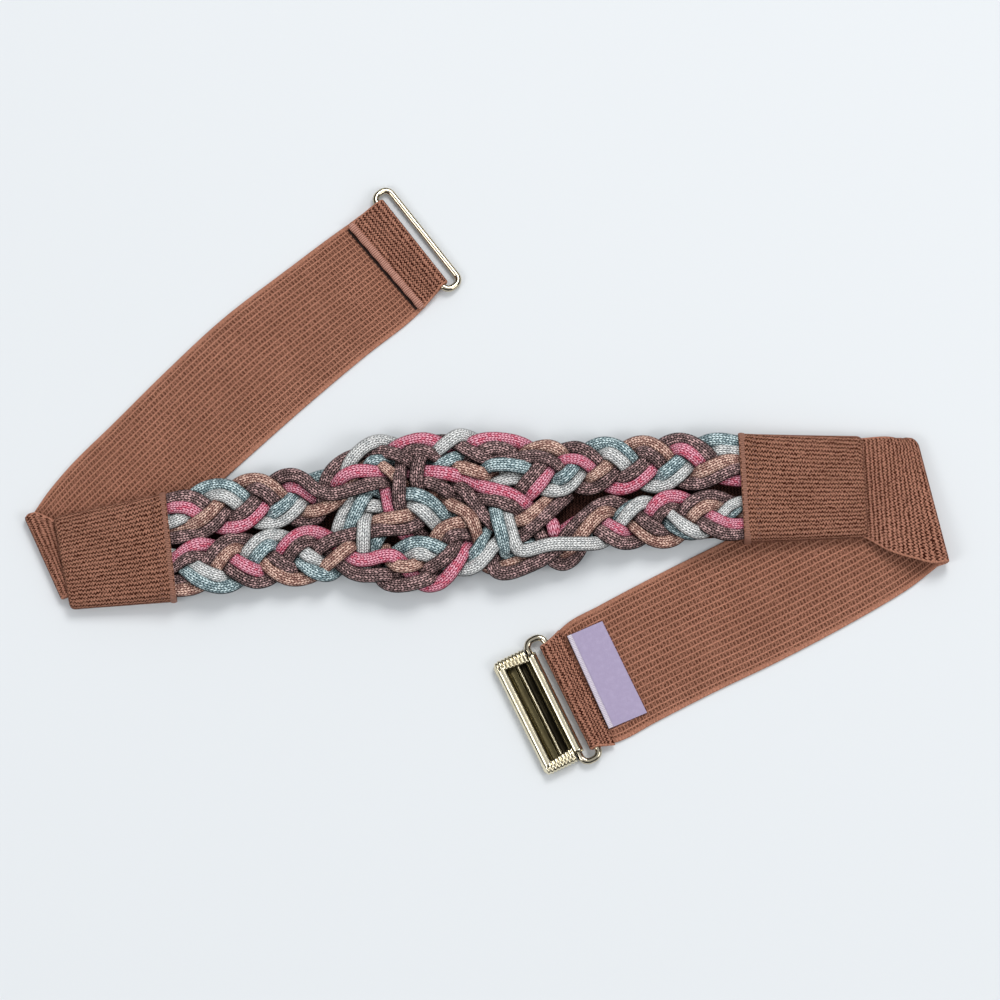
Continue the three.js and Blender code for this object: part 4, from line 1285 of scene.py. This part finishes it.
@dataclass
class Cord:
    """One knitted cord of the braids, on the route of its plain solid.

    Where its solid is squeezed to between `thin` and `thick`, the cord is narrower too, and below
    `flat_from` it spreads a little.
    """

    node: str
    half_width: float = 3.2
    fullness: float = 0.4
    least: float = 1.75
    thin: float = 1.2
    thick: float = 2.0
    thin_share: float = 0.72
    flat_from: float = 2.45
    flattening: float = 0.22
    most_flat: float = 0.3
    overlap: float = 0.2
    ring_size: int = 6
    same_plane: float = 0.99999
    easing: int = 4
    step: float = 0.9
    sides: int = 22

    def rings(self) -> tuple[Array, Array]:
        """The solid's middle line.

        Returns:
            The middle of each of its rings, and each ring's radius, in millimetres.
        """
        mesh = frame["nodes"][self.node].data
        spots = np.zeros(len(mesh.vertices) * 3)
        mesh.vertices.foreach_get("co", spots)
        spots = spots.reshape(-1, 3) / MM
        _, first, same = np.unique(spots.round(3), axis=0, return_index=True, return_inverse=True)
        same = same.ravel()
        corners = [tuple(int(same[v]) for v in polygon.vertices) for polygon in mesh.polygons]
        near: dict[int, set[int]] = {}
        for face in corners:
            for vertex in face:
                near.setdefault(vertex, set()).update(face)
        places = spots[first]
        front = self.end_ring(corners, places)
        seen, rings = set(front), [sorted(front)]
        while front := set().union(*(near[v] for v in front)) - seen:
            seen |= front
            rings.append(sorted(front))
        middles = np.array([places[ring].mean(axis=0) for ring in rings])
        radii = [
            np.linalg.norm(places[ring] - middle, axis=1).mean()
            for ring, middle in zip(rings, middles)
        ]
        return middles, np.array(radii)

    def end_ring(self, corners: list[tuple[int, ...]], places: Array) -> set[int]:
        """Finds one flat end: the most regular group of triangles that share a plane.

        Args:
            corners: the solid's triangles.
            places: where its vertices are.

        Returns:
            The numbers of the end's vertices.
        """
        a, b, c = (places[list(numbers)] for numbers in zip(*corners))
        flat = unit(np.cross(b - a, c - a))
        owner: dict[frozenset[int], list[int]] = {}
        for number, face in enumerate(corners):
            for k in range(3):
                owner.setdefault(frozenset((face[k], face[(k + 1) % 3])), []).append(number)
        beside: dict[int, set[int]] = {number: set() for number in range(len(corners))}
        for pair in owner.values():
            if len(pair) == 2 and flat[pair[0]] @ flat[pair[1]] > self.same_plane:
                beside[pair[0]].add(pair[1])
                beside[pair[1]].add(pair[0])
        found_ends = []
        for start in beside:
            group, front = {start}, {start}
            while front:
                front = set().union(*(beside[n] for n in front)) - group
                group |= front
            found = frozenset().union(*(corners[n] for n in group))
            if len(group) == self.ring_size - 2 and len(found) == self.ring_size:
                ring = places[sorted(found)]
                reach = np.linalg.norm(ring - ring.mean(axis=0), axis=1)
                found_ends.append((float(np.ptp(reach) / reach.mean()), sorted(found)))
        return set(min(found_ends)[1])

    def build(self, finish: Material, slot: str) -> None:
        """Builds the cord.

        Args:
            finish: its material.
            slot: the record's material slot.
        """
        middles, radii = self.rings()
        for _ in range(2):
            radii[1:-1] = (radii[:-2] + 2 * radii[1:-1] + radii[2:]) / 4
        for weight in (0.5, -0.5) * self.easing:
            bend = (middles[:-2, :2] + middles[2:, :2]) / 2 - middles[1:-1, :2]
            middles[1:-1, :2] += weight * bend
        known = np.concatenate([middles, radii[:, None]], axis=1)
        line = flow(known, even_counts(middles, self.step))
        route, radius = line[:, :3], line[:, 3]
        high = np.maximum(radius + self.fullness, self.least)
        full = ease((radius - self.thin) / (self.thick - self.thin))
        spread = np.clip((self.flat_from - radius) * self.flattening, 0.0, self.most_flat)
        wide = (self.half_width + spread) * between(self.thin_share, 1.0, full)
        lift = np.maximum(0.0, high - radius - self.overlap)[:, None] * [0.0, 0.0, 1.0]
        skin = tube(route + lift, np.maximum(high, wide), high, self.sides)
        add_piece(f"{self.node}_knit", [skin], [finish], Body.BELT, slot, self.node)
        LOG.info("%s: %.0f mm long", self.node, travelled(route)[-1])


@dataclass
class Label:
    """The small satin label beside the clasp's hem, left bare."""

    top: Row = edges(567, 637, 602, 622)
    bottom: Row = edges(608, 728, 646, 712)
    level: float = 2.27
    thickness: float = 0.4
    columns: int = 34
    rows: int = 80
    edge_rise: float = 0.35
    edge_share: float = 0.05
    fold_lift: float = 0.38
    fold_thickness: float = 0.35
    stitches: int = 9
    stitch: float = 0.24
    stitch_level: float = 1.75
    stitch_rise: float = 0.22
    stitch_reach: float = 0.75
    stitch_share: float = 0.07

    def grid(self) -> Array:
        """The label's middle surface, a little wavy, with one long edge folded up.

        Returns:
            Its points, as rows from one short end to the other.
        """
        u = np.linspace(0, 1, self.columns)[:, None]
        v = np.linspace(0, 1, self.rows)
        grid = between(
            between(*self.top, u)[:, None], between(*self.bottom, u)[:, None], v[None, :, None]
        )
        wave = 0.064 * np.sin(v * 19) * np.abs(u - 0.5) + 0.088 * np.sin(v * 7 + 1)
        edge = self.edge_rise * np.exp(-(((u - 0.02) / self.edge_share) ** 2))
        grid[..., 2] = self.level + wave + edge
        return grid

    def build(self, satin: Material, edge: Material, stitch: Material) -> None:
        """Builds the label, its folded edge and the stitches at its short ends.

        Args:
            satin: the label's material.
            edge: the material of the folded edge.
            stitch: the material of the stitches.
        """
        grid = self.grid()
        skin = shell(grid, self.thickness, 1, twin=False)
        piece = add_piece("label_satin", [skin], [satin], Body.BELT, "satin", "label")
        fold = grid[:5] + [0.0, 0.0, self.fold_lift]
        skin = shell(fold, self.fold_thickness, 1, twin=False)
        add_piece("label_fold", [skin], [edge], Body.BELT, "satin")
        skins = []
        for near, far in ((self.top, self.bottom), (self.bottom, self.top)):
            out = unit(near[0] - far[0]) * self.stitch_reach
            for share in np.linspace(0.08, 0.92, self.stitches):
                lift = [0.0, 0.0, self.stitch_level]
                first = between(*near, share) + lift
                last = between(*near, share + self.stitch_share) + lift
                top = (first + last) / 2 + out + [0.0, 0.0, self.stitch_rise]
                skins.append(tube(np.array([first, top, last]), self.stitch, self.stitch, 6))
        add_piece("label_stitches", skins, [stitch], Body.BELT, "satin")


# The metal


@dataclass
class Hinge:
    """Where a metal piece turns: its own frame has X along the axis and Y outward."""

    joint: str

    def place(self, points: Array, tilt: float = 0.0) -> Array:
        """Puts points of the piece's own frame into the model's frame.

        Args:
            points: the points, in millimetres.
            tilt: how far the piece is turned about the axis, in radians.

        Returns:
            The points where the piece lies at rest.
        """
        joints = frame["record"]["behaviour"]["joints"]
        joint = next(j for j in joints if j["name"] == self.joint)
        along = np.array(joint["axis"], float)
        outward = np.cross([0.0, 0.0, 1.0], along)
        y, z = points[..., 1], points[..., 2]
        cos, sin = math.cos(tilt), math.sin(tilt)
        turned = np.stack([points[..., 0], y * cos - z * sin, y * sin + z * cos], axis=-1)
        start = np.array(joint["pos_m"], float) / MM
        return start + turned @ np.stack([along, outward, [0.0, 0.0, 1.0]])


@dataclass
class WireRing:
    """An oval ring of wire, with one bar in a hem and the other free."""

    name: str
    joint: str
    body: Body
    length: float
    free_bar_height: float
    spacing: float = 8.6
    inset: float = 1.4
    wire: float = 1.5
    corner: float = 3.6
    hem_height: float = 3.3
    step: float = 1.5
    sides: int = 24
    seam_places: tuple[float, ...] = (7.8, 7.95, 8.05, 8.2)
    seam_swell: float = 0.1

    def line(self) -> Array:
        """The middle of the wire, all the way round from a corner at the free bar.

        Returns:
            Its points, without the first one again at the end.
        """
        reach, bend = self.length / 2 - self.inset, self.corner
        middles = ((1, self.spacing - bend), (-1, self.spacing - bend), (-1, bend), (1, bend))
        points = []
        for quarter, (side, y) in enumerate(middles):
            for angle in np.radians(90 * quarter + np.arange(0, 91, 10)):
                x = side * (reach - bend)
                points.append([x + bend * math.cos(angle), y + bend * math.sin(angle), 0.0])
        closed = np.array([*points, points[0]])
        fine = [closed[:1]]
        for a, b, count in zip(closed[:-1], closed[1:], even_counts(closed, self.step)):
            fine.append(between(a, b, (np.arange(1, count + 1) / count)[:, None]))
        return np.concatenate(fine)[:-1]

    def build(self, finish: Material) -> None:
        """Builds the ring and the seam where its wire's ends meet.

        Args:
            finish: the wire's material.
        """
        tilt = -math.asin((self.hem_height - self.free_bar_height) / self.spacing)
        ring = tube(self.line(), self.wire, self.wire, self.sides, ring=True)
        seam_line = np.array([[x, 0.0, 0.0] for x in self.seam_places])
        swollen = self.wire + self.seam_swell * np.array([0, 1, 1, 0])
        seam = tube(seam_line, swollen, swollen, self.sides)
        for skin in (ring, seam):
            skin.points = Hinge(self.joint).place(skin.points, tilt)
        add_piece(f"{self.name}_wire", [ring, seam], [finish], self.body, "brass", self.name)


@dataclass
class Clasp:
    """The bent sheet metal clasp that turns on the loop's outer bar.

    Its section is drawn in Y, out from the hinge, and Z. Its length runs along X.
    """

    length: float = 57.0
    grip_length: float = 50.0
    sheet: float = 0.9
    turn: float = 2.2
    low: float = -2.2
    far: float = 17.6
    curl: float = 2.45
    lip: float = 7.4
    lip_top: float = 1.9
    lip_sheet: float = 0.45
    liner_sheet: float = 0.4
    flap: float = 6.4
    flap_narrowing: float = 0.28
    end_start: float = 2.3
    end_sheet: float = 0.5
    end_round: float = 2.9
    near_round: float = 1.2
    end_base: float = -2.05
    end_top: float = 2.75
    flute: float = 1.75
    flute_depth: float = 0.5
    flute_sharpness: float = 0.7
    hinge: Hinge = field(default_factory=lambda: Hinge("clasp_plate_turn"))

    def sweep(self, profile: Points, length: float, sheet: float, inner: bool = False) -> Skin:
        """A bent sheet: one profile in Y and Z, run along the clasp.

        Args:
            profile: the middle line of the sheet's section.
            length: how long the sheet is.
            sheet: its thickness.
            inner: whether its inner face takes the dull finish.

        Returns:
            The skin, in the model's frame.
        """
        corners = np.array(profile)
        line = flow(corners, even_counts(corners, 0.35))
        grid = [[[x, y, z] for y, z in line] for x in np.linspace(-length / 2, length / 2, 30)]
        skin = shell(np.array(grid), sheet, -1, twin=inner)
        skin.points = self.hinge.place(skin.points)
        return skin

    @staticmethod
    def arc(centre: Pair, radius: float, start: float, stop: float, steps: int) -> Points:
        """Draws an arc in the clasp's section.

        Args:
            centre: the arc's middle.
            radius: its radius.
            start: where it starts, in degrees.
            stop: where it stops, in degrees.
            steps: how many points it has.

        Returns:
            The points of the arc.
        """
        angles = np.radians(np.linspace(start, stop, steps))
        x, y = centre
        return [(x + radius * math.cos(a), y + radius * math.sin(a)) for a in angles]

    def build_bends(self, bright: Material, tarnish_and_shade: Material) -> None:
        """Builds the rolled edge round the bar, and the tray from its upstand to its curl.

        Args:
            bright: the material of the outer faces.
            tarnish_and_shade: the material of the inner faces, darkened as painted shade.
        """
        grip = [*self.arc((0, 0), self.turn, 52, 270, 20), (3.2, self.low)]
        skin = self.sweep(grip, self.grip_length, self.sheet, True)
        faces = [bright, tarnish_and_shade]
        add_piece("clasp_grip", [skin], faces, Body.CLASP_PLATE, "brass", "clasp_plate")
        centre = (self.far - self.sheet / 2 - self.curl, self.low + self.curl)
        tray = [
            (3.0, 0.5), (3.05, -0.8), (3.4, -1.9), (4.4, self.low), (7.0, self.low),
            (10.0, self.low), *self.arc(centre, self.curl, -90, 118, 18),
        ]
        skin = self.sweep(tray, self.length - 6.0, self.sheet, True)
        add_piece("clasp_tray", [skin], faces, Body.CLASP_PLATE, "brass")

    def build_liners(self, bright: Material, recess: Material, slot: Material) -> None:
        """Builds the hollow floors of the recess and the slot, and the folded lip between them.

        Args:
            bright: the material of the lip.
            recess: the material of the recess, darkened as painted shade.
            slot: the material of the slot, so dark that it paints the slot's shadow.
        """
        lip, low, top = self.lip, self.low, self.lip_top
        bowl = [
            (lip + 0.7, 0.1), (lip + 1.2, -0.9), (10.2, -1.15), (12.0, -0.7), (13.1, 0.2),
            (13.8, 1.3), (14.3, 2.2),
        ]
        trough = [(3.55, 0.4), (3.75, -0.9), (4.6, -1.5), (6.2, -1.5), (6.75, -0.9), (6.8, 0.6)]
        edge = [
            (lip - 0.3, low + 0.2), (lip - 0.32, 0.4), (lip - 0.25, top - 0.4), (lip, top - 0.1),
            (lip + 0.3, top - 0.5), (lip + 0.45, 0.2), (lip + 0.8, -1.2), (lip + 1.6, low + 0.35),
        ]
        for name, profile, shorter, sheet, finish in (
            ("recess", bowl, 5.0, self.liner_sheet, recess),
            ("slot", trough, 5.0, self.liner_sheet, slot),
            ("lip", edge, 3.0, self.lip_sheet, bright),
        ):
            skin = self.sweep(profile, self.length - shorter, sheet)
            add_piece(f"clasp_{name}", [skin], [finish], Body.CLASP_PLATE, "brass")

    def end_section(self, y: float) -> tuple[Array, Array]:
        """Cuts through a fluted end.

        Args:
            y: where the cut is, out from the hinge.

        Returns:
            The section's points without flutes, in X and Z, and how far the flutes move each.
        """
        near, far = self.end_start, self.far - 0.1
        past = max(0.0, y - (self.far - self.end_round)) / self.end_round
        before = max(0.0, near + self.near_round - y) / self.near_round
        drop = 1 - math.sqrt(max(0.0, 1 - past**2)) * 0.999
        top = self.end_top - self.end_round * drop - 0.6 * before**2
        base = self.end_base + 1.8 * drop
        reach = self.flap * (1.0 - self.flap_narrowing * (y - near) / (far - near))
        wall = self.length / 2 - self.end_sheet - 2.3 * drop
        path = [
            (wall - 3.5, base), (wall - 1.4, base), (wall - 0.35, base + 0.45),
            (wall, (base + top) / 2), (wall - 0.3, top - 0.5), (wall - 1.3, top),
            (wall - reach * 0.7, top + 0.05), (wall + 0.5 - reach, top - 0.25),
            (wall + 0.4 - reach, top - 0.75),
        ]
        line = flow(np.array(path), [5, 5, 5, 5, 5, 5, 4, 3])
        slope = unit(np.gradient(line, axis=0))
        outward = np.stack([slope[:, 1], -slope[:, 0]], axis=1)
        wave = math.cos(2 * math.pi * (y - near) / self.flute)
        ripple = math.copysign(abs(wave) ** self.flute_sharpness, wave) * self.flute_depth / 2
        fade = np.clip(np.linspace(0, 3, len(line)), 0, 1)
        return line, outward * (ripple * fade)[:, None]

    def build_end(self, side: int, bright: Material, tarnish_and_shade: Material) -> None:
        """Builds a fluted short end that wraps over the tray.

        Args:
            side: 1 or -1, which end it is.
            bright: the material of its outer face.
            tarnish_and_shade: the material of its inner face, darkened as painted shade.
        """
        rows = []
        for y in np.linspace(self.end_start, self.far - 0.1, 150):
            line, flutes = self.end_section(y)
            rows.append([[side * x, y, z] for x, z in line + flutes])
        skin = shell(np.array(rows), self.end_sheet, side)
        skin.points = self.hinge.place(skin.points)
        name = "clasp_end_upper" if side > 0 else "clasp_end_lower"
        add_piece(name, [skin], [bright, tarnish_and_shade], Body.CLASP_PLATE, "brass")

    def build(self, bright: Material, tarnish_and_shade: Material, painted_slot_shadow: Material) -> None:
        """Builds the whole clasp.

        Args:
            bright: the polished finish.
            tarnish_and_shade: the finish of hollow places and inner faces, darkened to paint their
                shade.
            painted_slot_shadow: the finish of the deep slot, dark enough to paint its shadow.
        """
        self.build_bends(bright, tarnish_and_shade)
        self.build_liners(bright, tarnish_and_shade, painted_slot_shadow)
        for side in (1, -1):
            self.build_end(side, bright, tarnish_and_shade)


# Floor, light and camera


@dataclass
class Studio:
    """A plain pale floor under soft light, seen from nearly overhead."""

    target: Array = field(default_factory=lambda: spot(500, 500))
    elevation: float = 80.0
    distance: float = 3.6
    lens: float = 285.2
    floor_reach: float = 4.0
    floor_colour: Colour = (0.72, 0.74, 0.755)
    floor_shade: float = 0.985
    sky_colour: Colour = (0.93, 0.965, 1.0)
    sky: float = 0.55
    mirrored_colour: Colour = (0.95, 0.97, 1.0)
    mirrored_rise: Pair = (0.72, 0.98)
    mirrored_sky: Pair = (0.04, 0.6)
    lights: tuple[tuple[str, Triple, float, float], ...] = (
        ("key", (0.55, 1.6, 2.3), 1.2, 41.0),
        ("side", (1.6, -0.5, 1.6), 0.9, 11.0),
        ("front", (-1.5, -0.9, 1.6), 0.9, 12.0),
    )

    def build_floor(self) -> None:
        """Builds the floor."""
        mesh = bpy.data.meshes.new("floor")
        corners = [(-1, -1, 0), (1, -1, 0), (1, 1, 0), (-1, 1, 0)]
        mesh.from_pydata([Vector(c) * self.floor_reach for c in corners], [], [(0, 1, 2, 3)])
        material, write, shader = new_material("Pale floor")
        soft = write.noise(write.add("ShaderNodeTexCoord").outputs["Object"], 3.0)
        shade = tuple(c * self.floor_shade for c in self.floor_colour)
        write.join(write.blend(soft, self.floor_colour, shade), shader.inputs["Base Color"])
        shader.inputs["Roughness"].default_value = 0.9
        shader.inputs["Specular IOR Level"].default_value = 0.1
        mesh.materials.append(material)
        floor = bpy.data.objects.new("floor", mesh)
        bpy.context.scene.collection.objects.link(floor)

    def add_light(self, name: str, place: Triple, size: float, power: float) -> None:
        """Adds a soft square light that faces the belt.

        Args:
            name: the light's name.
            place: where it hangs, in metres.
            size: how wide it is, in metres.
            power: its power in watts.
        """
        data = bpy.data.lights.new(name, "AREA")
        data.shape, data.size, data.energy = "SQUARE", size, power
        light = bpy.data.objects.new(name, data)
        light.location = place
        light.rotation_euler = (-Vector(place)).to_track_quat("-Z", "Y").to_euler()
        bpy.context.scene.collection.objects.link(light)

    def build_light(self) -> None:
        """Builds the lights and the pale surroundings, which metal mirrors dimmer and uneven."""
        world = bpy.data.worlds.new("Pale surroundings")
        world.use_nodes = True
        write = Tree(world.node_tree)
        pale = world.node_tree.nodes["Background"]
        pale.inputs["Color"].default_value = (*self.sky_colour, 1.0)
        pale.inputs["Strength"].default_value = self.sky
        dim = write.add("ShaderNodeBackground")
        dim.inputs["Color"].default_value = (*self.mirrored_colour, 1.0)
        parts = write.add("ShaderNodeSeparateXYZ")
        write.join(write.add("ShaderNodeTexCoord").outputs["Generated"], parts.inputs[0])
        rise = write.span(parts.outputs[2], *self.mirrored_rise, *self.mirrored_sky)
        write.join(rise, dim.inputs["Strength"])
        choice = write.add("ShaderNodeMixShader")
        write.join(write.add("ShaderNodeLightPath").outputs["Is Glossy Ray"], choice.inputs[0])
        write.join(pale.outputs[0], choice.inputs[1])
        write.join(dim.outputs[0], choice.inputs[2])
        write.join(choice.outputs[0], world.node_tree.nodes["World Output"].inputs["Surface"])
        bpy.context.scene.world = world
        for light in self.lights:
            self.add_light(*light)

    def build_camera(self) -> None:
        """Builds the camera."""
        data = bpy.data.cameras.new("camera")
        data.lens, data.sensor_width, data.clip_start = self.lens, 36.0, 0.01
        camera = bpy.data.objects.new("camera", data)
        rise = math.radians(self.elevation)
        away = Vector((0.0, -math.cos(rise), math.sin(rise)))
        camera.location = Vector(self.target * MM) + away * self.distance
        camera.rotation_euler = away.to_track_quat("Z", "Y").to_euler()
        bpy.context.scene.collection.objects.link(camera)
        bpy.context.scene.camera = camera

    def build(self) -> None:
        """Builds everything that isn't the belt."""
        self.build_camera()
        self.build_floor()
        self.build_light()
        bpy.context.scene.view_settings.view_transform = "Standard"


# Each cord's own colour, the lighter colour of its stitches' crests (pale flecks and painted
# highlight), that of its darker stitches, how strongly the crests are lightened, and how many
# stitches are darker.
CORD_FINISHES = {
    "dark": CordFinish(
        "Dark cord", (0.10, 0.036, 0.040), (0.95, 0.62, 0.60), (0.010, 0.002, 0.003), 0.62, 0.7
    ),
    "pink": CordFinish(
        "Pink cord", (1.0, 0.16, 0.29), (1.0, 0.58, 0.68), (0.80, 0.04, 0.12), 0.7, 0.3
    ),
    "teal": CordFinish(
        "Grey-blue cord", (0.30, 0.50, 0.54), (0.84, 0.97, 0.98), (0.08, 0.17, 0.20), 0.8, 0.5
    ),
    "white": CordFinish(
        "Silver cord", (0.97, 0.96, 0.93), (1.0, 1.0, 0.98), (0.50, 0.52, 0.52), 0.9, 0.4
    ),
    "peach": CordFinish(
        "Peach cord", (0.72, 0.33, 0.24), (1.0, 0.72, 0.60), (0.26, 0.08, 0.06), 0.75, 0.5
    ),
}

# The finishes of everything else: a light and a dark colour, then sizes and shares.
# The elastic's dark yarn colour, for its darker stitches and bits, and for the painted shade in its
# grooves and holes.
DARK_YARN_AND_SHADE = (0.035, 0.006, 0.002)
FINISHES = {
    "outer": ElasticFinish(
        "Elastic, outer face", Weave.RIB_ACROSS, (0.50, 0.228, 0.152), DARK_YARN_AND_SHADE
    ),
    "inner": ElasticFinish(
        "Elastic, inner face", Weave.GRID, (0.61, 0.28, 0.183), DARK_YARN_AND_SHADE, relief=0.35
    ),
    "sleeve": ElasticFinish(
        "Cuff elastic", Weave.RIB_ALONG, (0.46, 0.215, 0.142), DARK_YARN_AND_SHADE, 1.9
    ),
    # The backing's brown elastic, darkened to near-black to stand for the shade behind the braids:
    # painted shade.
    "backing": ElasticFinish(
        "Backing elastic in painted shade", Weave.RIB_ACROSS, (0.09, 0.038, 0.028), (0.012, 0.004, 0.003), 1.6, 0.3
    ),
    "welt": ThreadFinish(
        "Hem stitching", (0.55, 0.27, 0.20), (0.22, 0.075, 0.045), 0.95, 0.35, 0.55
    ),
    # A near-black thread that paints the shadow beside the hem's ridge.
    "gap": ThreadFinish(
        "Painted shadow beside the hem", (0.03, 0.008, 0.004), (0.01, 0.003, 0.002), 1.2, 0.2
    ),
    "seam": ThreadFinish("Seam thread", (0.24, 0.10, 0.07), (0.10, 0.03, 0.02), 0.4, 0.08),
    "satin": ThreadFinish(
        "Satin", (0.42, 0.35, 0.51), (0.28, 0.23, 0.37), 0.45, 0.08, 0.36, across=True
    ),
    "rim": ThreadFinish(
        "Rim stitching", (0.35, 0.155, 0.10), (0.12, 0.04, 0.02), 0.8, 0.3, across=True
    ),
    "pale": ThreadFinish(
        "Pale fold", (0.66, 0.60, 0.68), (0.36, 0.30, 0.38), 0.8, 0.15, 0.5, across=True
    ),
    "bright": BrassFinish("Polished brass", (0.86, 0.78, 0.58), (0.50, 0.40, 0.22), 0.2),
    # A dark copy of the brass for inner faces and the recess: painted shade.
    "tarnish_and_shade": BrassFinish("Brass in painted shade", (0.12, 0.10, 0.05), (0.05, 0.04, 0.02), 0.22, 0.6),
    # A still darker copy for the slot's floor: painted shadow.
    "painted_slot_shadow": BrassFinish(
        "Brass as painted slot shadow", (0.03, 0.025, 0.015), (0.012, 0.01, 0.008), 0.4, 0.6
    ),
    "wire": BrassFinish("Antique wire", (0.62, 0.55, 0.42), (0.36, 0.30, 0.20), 0.13),
}


def build_belt() -> None:
    """Builds the belt, one sub-assembly after another."""
    made = {key: finish.material() for key, finish in FINISHES.items()}
    for strap in (LEFT_STRAP, RIGHT_STRAP):
        strap.build([made["outer"], made["inner"]])
    HemWelt(LEFT_STRAP).build(made["welt"], made["gap"])
    Backing().build(made["backing"])
    for cuff in (LEFT_CUFF, RIGHT_CUFF):
        cuff.build(made["sleeve"])
        cuff.build_rim(made["rim"])
        cuff.build_seam(made["seam"])
    build_cords()
    Label().build(made["satin"], made["pale"], made["seam"])
    WireRing("end_ring", "end_ring_swing", Body.END_RING, 58.0, 1.5).build(made["wire"])
    WireRing("clasp_ring", "clasp_ring_swing", Body.CLASP_RING, 64.0, 2.75).build(made["wire"])
    Clasp().build(made["bright"], made["tarnish_and_shade"], made["painted_slot_shadow"])


def build_cords() -> None:
    """Builds every cord of the braids in its own colour."""
    materials = {colour: finish.material() for colour, finish in CORD_FINISHES.items()}
    for node in sorted(frame["nodes"]):
        if node.startswith("cord_"):
            colour = node.rsplit("_", 1)[1]
            Cord(node).build(materials[colour], f"cord_{colour}")


def write_sizes() -> None:
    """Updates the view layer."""
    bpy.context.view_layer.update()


def main() -> None:
    """Builds the studio and the belt."""
    logging.basicConfig(level=logging.INFO, format="%(message)s")
    Studio().build()
    build_belt()
    write_sizes()


if __name__ == "__main__":
    main()
